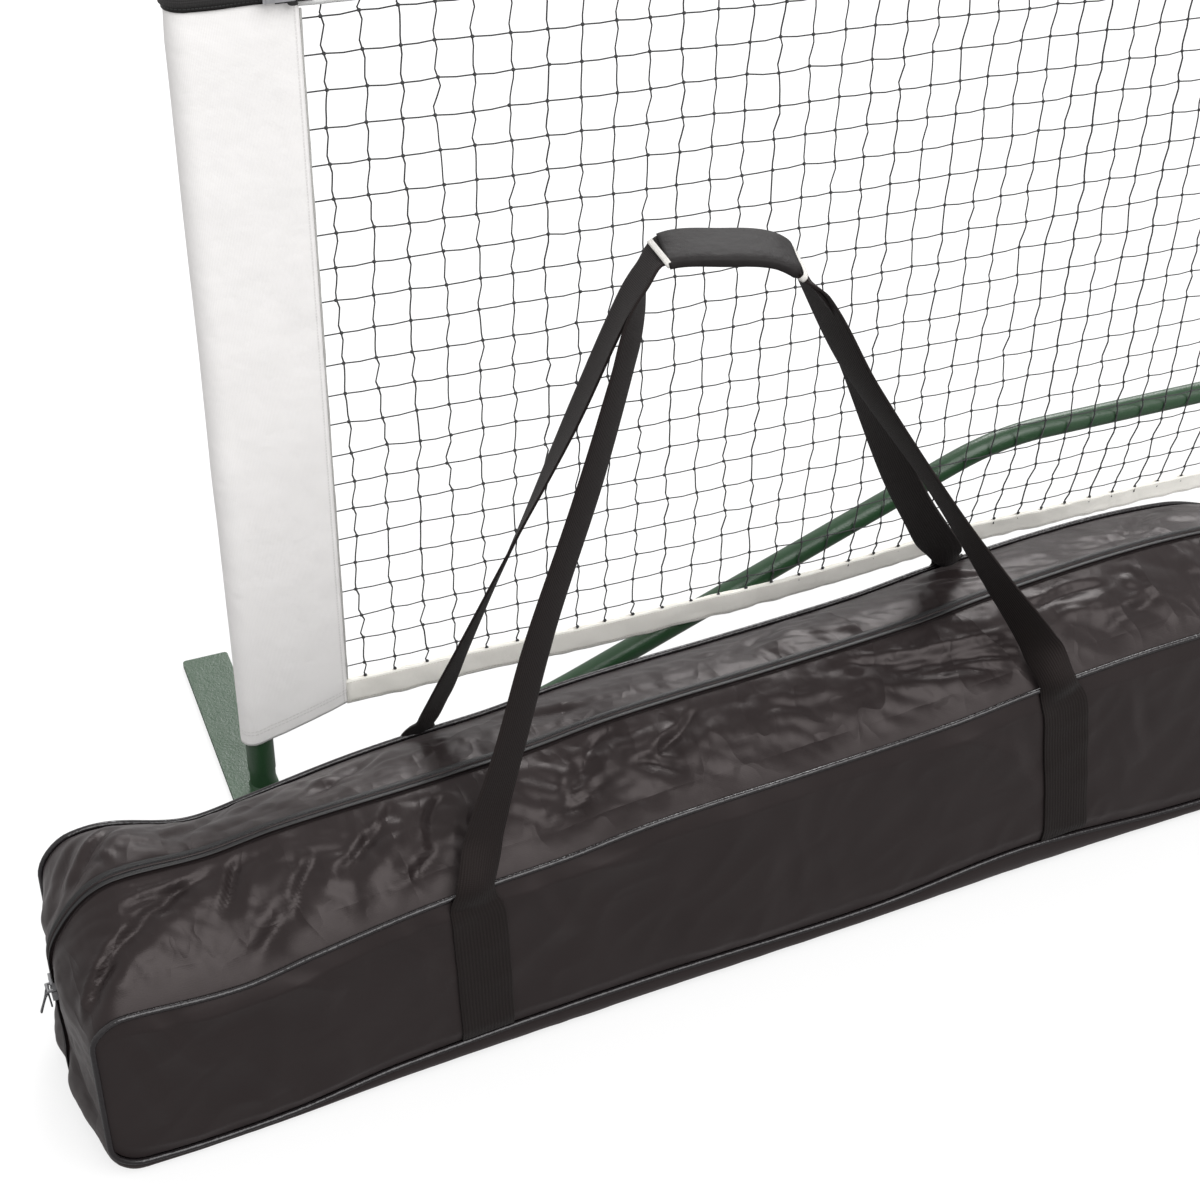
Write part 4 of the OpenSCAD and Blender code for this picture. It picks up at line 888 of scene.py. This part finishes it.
def crest(x, y, folds):
    """Height of the sharp folds at a point of the cloth."""
    total, margin = 0.0, 0.03
    for x0, y0, x1, y1, high, wide in folds:
        beside = min(x0, x1) - margin < x < max(x0, x1) + margin
        if not (beside and min(y0, y1) - margin < y < max(y0, y1) + margin):
            continue
        ax, ay = x1 - x0, y1 - y0
        long = math.hypot(ax, ay)
        t = ((x - x0) * ax + (y - y0) * ay) / long / long
        away = ((x - x0) * ay - (y - y0) * ax) / long
        away += 0.0035 * math.sin(t * 5 + x0 * 40)
        away /= wide * (0.65 if away < 0 else 1.5)
        end = 1 - abs(2 * t - 1) ** 2.5
        if end > 0:
            ridge = math.exp(-math.sqrt(away * away + 0.05)) * 1.25
            total += high * end * (ridge - 0.3 * hump(abs(away), 2.2, 1))
    return total


def crumple(s, t, size, seed):
    """Sharp-crested ruffles of crumpled cloth, from about -1 to 1."""
    bend = noise.noise(Vector((s / size * 0.7, t / size * 0.7, seed + 9))) * 0.8
    first = s / size * 0.8 + t / size * 0.6 + bend
    value = noise.noise(Vector((first, t / size * 1.5 - s / size * 0.9, seed)))
    return 1 - 2.9 * math.sqrt(value * value + 0.0015)


def strip_surface(u, w):
    """The strip's surface with its folds and its way out, before the bag is put in its place."""
    point = bag_ring(u, w)
    along = bag_ring(u + 0.002, w) - bag_ring(u - 0.002, w)
    wide = bag_ring(u, min(1, w + 0.02)) - bag_ring(u, max(-1, w - 0.02))
    out = along.cross(wide).normalized()
    seam = 1 - abs(w) ** 5
    top = clamped((point.z - 0.05) / 0.09)
    by_zip = clamped((abs(w) - 0.07) / 0.16)
    around = u * strip_long
    rise = crest(point.x, point.y, strip_folds) * top if point.z > 0.12 else 0.0
    mask = 0.5 + 0.5 * noise.noise(Vector((point.x * 6, point.y * 8, 3.3)))
    rise += crumple(around, point.y, 0.075, 2.0) * 0.0030 * mask * top
    rise += crumple(around, point.y, 0.034, 5.0) * 0.0013 * (1 - 0.5 * mask) * (0.4 + 0.6 * top)
    rise += noise.noise(Vector((point.x * 6, point.y * 11, point.z * 6 + 4))) * 0.0045 * top
    return point + out * (seam * by_zip * rise - 0.001 * seam), out


def strip_place(u, v):
    w = (2 * v - 1) * (0.4 + 0.6 * abs(2 * v - 1))
    point, out = strip_surface(u, w)
    # two flaps meet over the zip, each with a puffed edge
    lip = 0.0014 * hump(abs(w), 0.04, 0.022) - 0.0032 * max(0.0, 1 - abs(w) / 0.018) ** 0.5
    point = point + out * (lip if point.z > 0.02 else 0.0)
    point.z = max(point.z, 0.0006)
    return bag_place @ point


# Each row is both ends of a fold on a panel, along and up, its depth and its width
panel_folds = [
    (-0.640, 0.185, -0.600, 0.060, 0.0035, 0.010),
    (-0.615, 0.200, -0.560, 0.110, 0.0030, 0.010),
    (-0.585, 0.175, -0.500, 0.200, 0.0030, 0.009),
    (-0.540, 0.150, -0.505, 0.050, 0.0022, 0.014),
    (-0.520, 0.205, -0.440, 0.150, 0.0030, 0.010),
    (-0.455, 0.110, -0.430, 0.040, 0.0018, 0.014),
    (-0.390, 0.215, -0.345, 0.120, 0.0028, 0.011),
    (-0.275, 0.215, -0.225, 0.130, 0.0028, 0.011),
    (-0.240, 0.225, -0.140, 0.190, 0.0026, 0.010),
    (-0.130, 0.110, -0.060, 0.060, 0.0018, 0.016),
    (0.020, 0.150, 0.060, 0.060, 0.0018, 0.016),
    (0.150, 0.235, 0.270, 0.170, 0.0026, 0.011),
    (0.220, 0.225, 0.275, 0.110, 0.0028, 0.011),
    (0.355, 0.240, 0.400, 0.120, 0.0028, 0.011),
    (0.470, 0.140, 0.540, 0.070, 0.0020, 0.014),
    (0.560, 0.220, 0.620, 0.130, 0.0030, 0.011),
]


def panel_edges(face, x):
    """The panel's lower and upper edge at x; face is -1 for the front panel and 1 for the back."""
    over = max(0.0, abs(x) - (half_long - corner_r))
    cut = corner_r - math.sqrt(max(0.0, corner_r**2 - over * over))
    rise = 0.006 + puff(x, half_deep) if face > 0 else 0.0
    return height_on(hem_line, x) + cut, height_on(top_line, x) - cut + rise


def panel_out(face, x, z):
    """How far the panel's cloth stands from the bag's middle at x and z."""
    low, high = panel_edges(face, x)
    v = clamped((z - low) / (high - low))
    free = min(1, 12 * v * (1 - v)) * min(1, (half_long - abs(x)) / 0.05)
    out = 0.006 + crest(x, z, panel_folds)
    out += 0.0035 * noise.noise(Vector((x * 9 + 3, z * 4, 2.0 * face)))
    out += 0.0010 * crumple(x, z * 0.6, 0.06, 5.0 * face)
    return half_deep + 0.0012 + free * out


def panel_place(face):
    def place(u, v):
        # columns crowd towards the ends, where the corners are
        x = half_long * (-0.5 * math.cos(math.pi * u) + 0.5 * (2 * u - 1))
        low, high = panel_edges(face, x)
        z = low + (high - low) * v
        return bag_place @ Vector((x, face * panel_out(face, x, z), z))

    return place


strip = laid("bag_strip_cloth", 1000, 92, strip_place, bag_cloth, closed=True)
front_panel = laid("bag_front_cloth", 420, 76, panel_place(-1), bag_cloth)
back_panel = laid("bag_back_cloth", 300, 60, panel_place(1), bag_cloth)
for piece, node in ((strip, "bag_gusset"), (front_panel, "bag_front_panel"), (back_panel, "bag_back_panel")):
    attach(piece, "bag")
    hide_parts(node)

# Piping: glossy black cord in a folded strip, sewn into the seam round each panel.
gloss_piping = Finish("gloss_piping", Base_Color=(0.012, 0.010, 0.011, 1), Roughness=0.22)
gloss_piping.relief((gloss_piping.cloud(320), 0.0005))
points_round, piping_r = 520, 0.0027
for face, name in ((-1, "piping_front"), (1, "piping_back")):
    line = []
    for k in range(points_round):
        here = bag_ring(k / points_round, face)
        ahead = bag_ring((k + 1) / points_round, face) - bag_ring((k - 1) / points_round, face)
        out = Vector((ahead.z, 0, -ahead.x)).normalized()
        line.append(bag_place @ (here + out * 0.0016 + Vector((0, face * 0.0020, 0))))
    line.append(line[0])
    piece = drawn(name, [line], piping_r, 12, gloss_piping)
    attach(piece, "bag")
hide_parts("bag_piping")

# Zip: black tapes with a nylon coil between them, sewn along the middle of the strip from
# low on one end, over the top, to low on the other. Two cast metal sliders run on the coil.
zip_cloth = Finish("zip_cloth", Base_Color=(0.008, 0.0075, 0.008, 1), Roughness=0.5)
zip_long, zip_wide, coil_half = 1.75, 0.012, 0.0026
along, across = zip_cloth.cloth(zip_long, zip_wide)
coil = (abs(across - zip_wide / 2) < coil_half) * threads(along, 0.0018)
zip_cloth.relief((coil, 0.0012), (zip_cloth.cloud(1200), 0.0002))
zip_start, zip_stop = 0.447, 0.985


def zip_place(u, v):
    """The tapes run along a share of the strip's length, with the coil raised between them."""
    w = 0.11 * (v - 0.5)
    point, out = strip_surface(zip_start + (zip_stop - zip_start) * u, w)
    ridge = 0.0007 * max(0.0, 1 - (abs(v - 0.5) / 0.3) ** 2)
    return bag_place @ (point + out * (ridge - 0.0024))


zip_tape = laid("zip_tape_cloth", 700, 12, zip_place, zip_cloth, thick=0.0006)
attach(zip_tape, "bag")
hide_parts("zip_tape")
gun_metal = Finish("gun_metal", Metallic=1.0, Base_Color=(0.4, 0.4, 0.41, 1))
gun_metal.feed("Roughness", gun_metal.cloud(500, 3) * 0.2 + 0.2)
coat("zip_slider_upper zip_slider_lower", gun_metal)

# Zip pulls: two slim pressed bars, each hung from the bail of its slider by a wire loop. They
# hang apart, the upper one away from the bag.
dark_metal = Finish("dark_metal", Metallic=1.0, Base_Color=(0.16, 0.16, 0.165, 1))
dark_metal.feed("Roughness", dark_metal.cloud(500, 3) * 0.2 + 0.25)
eye_half, eye_middle, eye_high, wire_r = 0.0031, 0.0032, 0.0054, 0.0008
pull_start, pull_long, pull_thick = 0.0078, 0.0182, 0.0014
pull_half, pull_waist, pull_tip = 0.0019, 0.0006, 0.0013
for which, outward, sideways in (("upper", -0.36, -0.08), ("lower", 0.06, 0.12)):
    low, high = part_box("zip_pull_" + which)
    hinge = Vector(((low.x + high.x) / 2, (low.y + high.y) / 2, high.z - 0.0023))
    down = Vector((outward, sideways, -1)).normalized()
    side = down.cross(Vector((1, 0, 0))).normalized()
    loop = []
    for k in range(25):
        turn = math.pi * k / 12
        half = eye_half * math.cos(turn) * (1.0 - 0.2 * math.sin(turn))
        loop.append(hinge + side * half + down * (eye_middle - eye_high * math.sin(turn)))
    eye = drawn("pull_" + which + "_eye", [loop], wire_r, 8, dark_metal)
    shape = bmesh.new()
    bmesh.ops.create_grid(shape, x_segments=4, y_segments=12, size=1)
    for vertex in shape.verts:
        along, wide = (vertex.co.y + 1) / 2, vertex.co.x
        half = pull_half - pull_waist * math.sin(math.pi * along) if along < 0.95 else pull_tip
        vertex.co = hinge + down * (pull_start + pull_long * along) + side * half * wide
    bar = keep("pull_" + which + "_bar", shape, dark_metal)
    thicken(bar, pull_thick)
    for piece in (eye, bar):
        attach(piece, "pull_" + which)
    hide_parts("zip_pull_" + which)

# Handles: two loops of wide ribbed webbing, one sewn down each panel from its lower seam.
# They twist on their way up, lie on each other in the grip, and twist on their way down.
webbing_wide, webbing_long = 0.05, 2.2
ribbed = Finish("ribbed_webbing", Roughness=0.65, Sheen_Weight=0.03, Specular_IOR_Level=0.18)
ribbed.shader.inputs["Specular Tint"].default_value = (1, 0.88, 0.86, 1)
across, along = ribbed.cloth(webbing_wide, webbing_long)
rib = threads(across, 0.0031)
# the webbing's colour follows its ribs: painted shade darkens the grooves between them and their crests are
# painted lighter
ribbed.feed("Base Color", ribbed.mix(rib, (0.006, 0.0042, 0.004, 1), (0.016, 0.0125, 0.012, 1)))
sewn = stitches(across, along, (0.004, 0.046), 0.0038, 0.0007) * ((along < 0.19) + (along > 2.01))
ribbed.relief((rib + threads(along, 0.0017) * 0.5, 0.0006), (sewn, -0.0006))
# Each row is along, across and up in millimetres, and the turn of the webbing's width in degrees
front_points = [
    (-311, -103.1, 38, 0), (-318, -103.1, 186, 0), (-322, -106.2, 209, 0), (-320, -106.6, 230, 8),
    (-303, -84, 262, 25), (-269, -58, 328, 33), (-230, -33, 423, 34), (-180, -13, 542, 36),
    (-144, -2, 652, 41), (-131, 6, 690, 46), (-118, 13, 717, 60), (-103.5, 18, 737, 70),
    (-54, 0, 740.7, 70), (-22, -11.5, 738, 70), (-4, -18, 728, 72), (17, -20, 702, 97),
    (72, -17, 602, 104), (166, -28, 457, 98), (232, -50, 350, 112), (261, -82, 298, 122),
    (270, -106.6, 268, 160), (277, -106.2, 248, 180), (286, -103.1, 226, 180), (314, -103.1, 48, 180),
]
back_points = [
    (-300, 103.1, 39, 180), (-300, 103.1, 192, 180), (-299, 106.2, 212, 182), (-297, 108, 232, 198),
    (-290, 88, 262, 210), (-275, 68, 324, 220), (-221, 46, 471, 235), (-174, 28, 598, 250),
    (-138, 18, 694, 252), (-122, 17, 720, 252), (-104, 18, 740, 250), (-54, 0, 743.4, 250),
    (-20, -11.5, 741, 250), (-1, -18, 730, 250), (18, -15, 702, 266), (82, 12, 596, 280),
    (168, 40, 429, 300), (229, 66, 332, 318), (262, 92, 282, 335), (277, 106.6, 264, 352),
    (275, 106.2, 248, 360), (270, 103.1, 226, 360), (262, 103.1, 50, 360),
]


def smooth_line(points, count):
    """Evenly spaced points and turns on a smooth line, in metres and radians."""
    points = [Vector((x / 1000, y / 1000, z / 1000, math.radians(turn))) for x, y, z, turn in points]
    tiny, parts, fine = 1e-9, 24, []
    for k in range(len(points) - 1):
        before, here = points[max(0, k - 1)], points[k]
        there, after = points[k + 1], points[min(len(points) - 1, k + 2)]
        gap = (there - here).xyz.length
        slope_here = (there - before) / max(tiny, (here - before).xyz.length + gap) * gap
        slope_there = (after - here) / max(tiny, gap + (after - there).xyz.length) * gap
        for part in range(parts):
            fine.append(bend_between(part / parts, here, slope_here, there, slope_there))
    fine.append(points[-1])
    far = [0.0]
    for here, there in zip(fine, fine[1:]):
        far.append(far[-1] + (there - here).xyz.length)
    even, k = [], 0
    for s in range(count + 1):
        goal = far[-1] * s / count
        while k < len(far) - 2 and far[k + 1] < goal:
            k += 1
        even.append(fine[k].lerp(fine[k + 1], (goal - far[k]) / max(tiny, far[k + 1] - far[k])))
    return even


def across_line(ahead, turn):
    """The way of the webbing's width, square to the way ahead."""
    wide = compass(turn).to_3d()
    return (wide - ahead * wide.dot(ahead)).normalized()


def webbing_place(points, face):
    count = 360
    line = smooth_line(points, count)

    def place(u, v):
        k = min(count, round(v * count))
        here = line[k].xyz
        ahead = (line[min(count, k + 1)] - line[max(0, k - 1)]).xyz.normalized()
        wide = across_line(ahead, line[k].w)
        # the webbing is gathered where it bends over the seam, and cups a little on its free stretches
        crown = panel_edges(face, here.x)[1] + 0.016
        gather = (0.3 if face < 0 else 0.42) * hump(here.z, crown, 0.026)
        climb = clamped((here.z - 0.25) / 0.1) * clamped((0.735 - here.z) / 0.05)
        cup = (0.0016 * climb + 0.022 * gather) * (1 - (2 * u - 1) ** 2)
        point = here + wide * webbing_wide * (1 - gather) * (u - 0.5) - wide.cross(ahead) * cup * face
        if here.z < panel_edges(face, point.x)[1]:
            point.y = face * max(abs(point.y), panel_out(face, point.x, point.z) + 0.0017)
        return bag_place @ point

    return place


for name, points, face, node in (
    ("webbing_front_loop", front_points, -1, "webbing_front"),
    ("webbing_back_loop", back_points, 1, "webbing_back"),
):
    piece = laid(name, 10, 360, webbing_place(points, face), ribbed, thick=0.0022)
    ease_edges(piece, 0.0006)
    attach(piece, "bag")
    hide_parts(node)

# Grip: a padded black wrap that holds both loops together. Outside each of its ends a band of
# white thread is wound round the two loops.
wrap_cloth = Finish("wrap_cloth", Base_Color=(0.011, 0.009, 0.009, 1), Roughness=0.6, Specular_IOR_Level=0.3)
wrap_cloth.relief((wrap_cloth.cloud(1500), 0.0003), (wrap_cloth.cloud(60), 0.002))
grip_lines = [smooth_line(points, 720) for points in (front_points, back_points)]
grip_start, grip_long, grip_half_wide, grip_half_high = -0.103, 0.0985, 0.0272, 0.0058


def line_at(line, x):
    """The line's point and turn at x, in the grip, and its way ahead."""
    k = min((k for k in range(len(line)) if line[k].z > 0.7), key=lambda k: abs(line[k].x - x))
    here, ahead = line[k], (line[k + 1] - line[k - 1]).xyz
    near = line[k - 1] if (here.x > x) == (here.x > line[k - 1].x) else line[k + 1]
    gap = near.x - here.x
    return here.lerp(near, (x - here.x) / gap if abs(gap) > 1e-7 else 0), ahead


def round_loops(x, half_wide, half_high, turn):
    """A point on a ring round both loops at x, and the way along them."""
    (front, front_ahead), (back, back_ahead) = (line_at(line, x) for line in grip_lines)
    ahead = (front_ahead + back_ahead).normalized()
    wide = across_line(ahead, front.w)
    across = math.copysign(abs(math.cos(turn)) ** 0.4, math.cos(turn))
    up = math.copysign(abs(math.sin(turn)) ** 0.6, math.sin(turn))
    middle = (front + back).xyz / 2
    return middle + wide * half_wide * across + ahead.cross(wide) * half_high * up, ahead


def grip_ring(u, v):
    """The wrap, a little plumper in its middle."""
    plump = 0.0006 * math.sin(math.pi * v)
    x = grip_start + grip_long * v
    point, _ = round_loops(x, grip_half_wide, grip_half_high + plump, 2 * math.pi * u)
    return bag_place @ point


grip = laid("grip_wrap_cloth", 48, 40, grip_ring, wrap_cloth, thick=0.0015, closed=True, offset=-1)
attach(grip, "bag")
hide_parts("grip_wrap")
white_thread = Finish("white_thread", Base_Color=(0.8, 0.78, 0.74, 1), Roughness=0.8)
binding_wide, binding_half_wide, binding_half_high = 0.005, 0.0262, 0.0040
_, across = white_thread.cloth(1, binding_wide)
white_thread.relief((threads(across, 0.0008), 0.0006))


def binding_ring(x):
    def place(u, v):
        point, ahead = round_loops(x, binding_half_wide, binding_half_high, 2 * math.pi * u)
        return bag_place @ (point + ahead * binding_wide * (v - 0.5))

    return place


for name, x in (("grip_binding_left", -0.1058), ("grip_binding_right", -0.0012)):
    binding = laid(name, 48, 3, binding_ring(x), white_thread, thick=0.0008, closed=True, offset=1)
    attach(binding, "bag")
